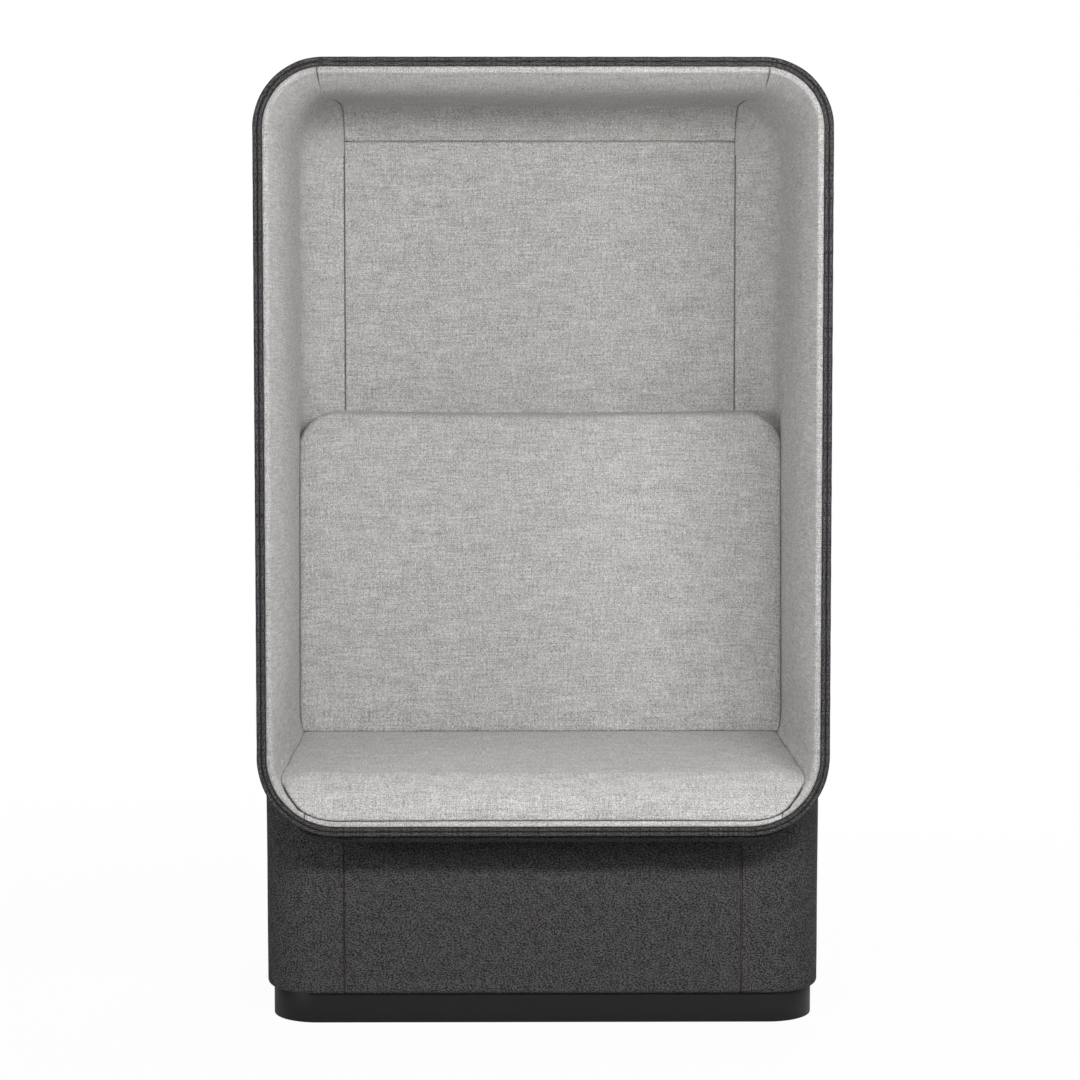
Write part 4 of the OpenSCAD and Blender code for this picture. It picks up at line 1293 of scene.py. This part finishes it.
# Cloth map of a cushion in metres: across, and up and over; on its ends, into the tub and up
def mapCloth(piece):
    mesh = piece.data
    co = readRows(mesh.vertices, "co")
    normals = readRows(mesh.polygons, "normal")
    corners = np.zeros(len(mesh.loops), int)
    mesh.loops.foreach_get("vertex_index", corners)
    counts = np.zeros(len(mesh.polygons), int)
    mesh.polygons.foreach_get("loop_total", counts)
    face = np.repeat(np.arange(len(counts)), counts)
    v, w = toTub(co[:, 1], co[:, 2])
    onEnd = (np.abs(normals[:, 0]) > endsFrom)[face]
    first = np.where(onEnd, w[corners], co[corners, 0])
    second = np.where(onEnd, v[corners], v[corners] + w[corners])
    setClothMap(mesh, np.stack([first, second], axis=-1))


# Painted shade on the seat's front edge: a dark line where it meets the lining's roll, close over
# it. The front face gets a little painted shade too
def paintFrontShade(piece):
    co = readRows(piece.data.vertices, "co")
    v, w = toTub(co[:, 1], co[:, 2])
    inset = outlineInset(co[:, 0], v)[0]
    over = liningInset(v, w) + seat["frontGap"] + seat["lineDepth"] - inset
    shadeMark = ramp(over, 0, seat["lineSoft"]) * fadeOut(w, *seat["lineUntil"])
    # painted shade over the seat's front face
    shadeMark = np.maximum(shadeMark, seat["frontDim"] * fadeOut(w, *seat["dimUntil"]))
    setMark(piece.data, "shadeMark", shadeMark)


for name, shape, values, shapeMore, under, replaced in (
    ("seat_cushion_cover", seatShape, seat, spillOver, True, ["seat_cushion"]),
    ("back_cushion_cover", padShape, pad, dipTop, False, ["back_cushion"]),
):
    piece = addObject(name, gridMesh(name, shape(), closed=(False, True), caps=True))
    swellCover(piece, values, shapeMore, under)
    mapCloth(piece)
    if under:
        paintFrontShade(piece)
    dress(piece, wool, replaced)
print("cushions made")

# Floor, lamps and the pale surroundings
studio = {
    "floorColour": (0.80, 0.80, 0.80, 1),
    "floorWhite": 0.965,
    "floorFade": (0.9, 2.6),
    "floorSize": 30.0,
    "worldStrength": 0.01,
}
# Place, place that it shines at, size and power of each lamp
lamps = {
    "keyMiddle": ((0.05, -2.05, 1.53), (0.0, 0.0, 0.9), (0.55, 0.18), 14.2),
    "keyRight": ((0.76, -2.05, 1.62), (0.0, 0.0, 0.9), (0.80, 0.22), 25.0),
    "left": ((-2.6, -2.6, 1.2), (0.0, 0.0, 0.9), (1.2, 0.6), 33.0),
    "right": ((2.6, -2.6, 1.5), (0.0, 0.0, 0.9), (1.2, 0.8), 10.5),
    "top": ((0.0, -1.2, 3.2), (0.0, 0.0, 0.9), (2.0, 1.2), 11.0),
    "rear": ((0.6, 3.4, 1.9), (0.0, 0.2, 0.8), (2.6, 1.8), 150.0),
}


def addLamp(name, place, at, size, power):
    light = bpy.data.lights.new(name, "AREA")
    light.shape = "RECTANGLE"
    light.size, light.size_y = size
    light.energy = power
    lamp = addObject(name, light)
    way = np.array(at) - np.array(place)
    lamp.location = place
    lamp.rotation_euler = (math.atan2(math.hypot(way[0], way[1]), -way[2]), 0, math.atan2(-way[0], way[1]))
    lamp.visible_camera = False


# Whether a ray comes from the camera, straight or through something
def seenRay(tree):
    rays = addNode(tree, "ShaderNodeLightPath")
    return addMath(tree, "MAXIMUM", rays.outputs["Is Camera Ray"], rays.outputs["Is Transmission Ray"])


# White to the camera, and nearly dark where it would light the chair
def makeWorld():
    world = bpy.data.worlds.new("pale room")
    world.use_nodes = True
    tree = world.node_tree
    tree.nodes.clear()
    level = {0: seenRay(tree), 2: studio["worldStrength"], 3: 1.0}
    strength = addNode(tree, "ShaderNodeMix", level, data_type="FLOAT").outputs[0]
    light = addNode(tree, "ShaderNodeBackground", {"Color": (1, 1, 1, 1), "Strength": strength})
    addNode(tree, "ShaderNodeOutputWorld", {"Surface": light.outputs[0]})
    bpy.context.scene.world = world


# Pale floor: near the chair its shadow shows through the white, and further off it is all white
def makeFloor():
    size = studio["floorSize"]
    corners = [(-size, -size, 0), (size, -size, 0), (size, size, 0), (-size, size, 0)]
    mesh = bpy.data.meshes.new("floor")
    mesh.from_pydata(corners, [], [(0, 1, 2, 3)])
    floor = addObject("floor", mesh)
    finish = bpy.data.materials.new("paleFloor")
    finish.use_nodes = True
    tree = finish.node_tree
    tree.nodes.clear()
    place = addNode(tree, "ShaderNodeTexCoord").outputs["Object"]
    away = addNode(tree, "ShaderNodeVectorMath", {0: place}, operation="LENGTH").outputs["Value"]
    near, far = studio["floorFade"]
    fade = {"Value": away, "From Min": near, "From Max": far, "To Min": studio["floorWhite"], "To Max": 1.0}
    white = addNode(tree, "ShaderNodeMapRange", fade, interpolation_type="SMOOTHSTEP").outputs[0]
    share = addMath(tree, "MULTIPLY", seenRay(tree), white)
    matt = addNode(tree, "ShaderNodeBsdfDiffuse", {"Color": studio["floorColour"]}).outputs[0]
    glow = addNode(tree, "ShaderNodeEmission", {"Color": (1, 1, 1, 1), "Strength": 1.0}).outputs[0]
    both = addNode(tree, "ShaderNodeMixShader", {0: share, 1: matt, 2: glow})
    addNode(tree, "ShaderNodeOutputMaterial", {"Surface": both.outputs[0]})
    mesh.materials.append(finish)


for name, values in lamps.items():
    addLamp(name, *values)
makeWorld()
makeFloor()
bpy.context.scene.view_settings.view_transform = "Standard"
print("studio made")
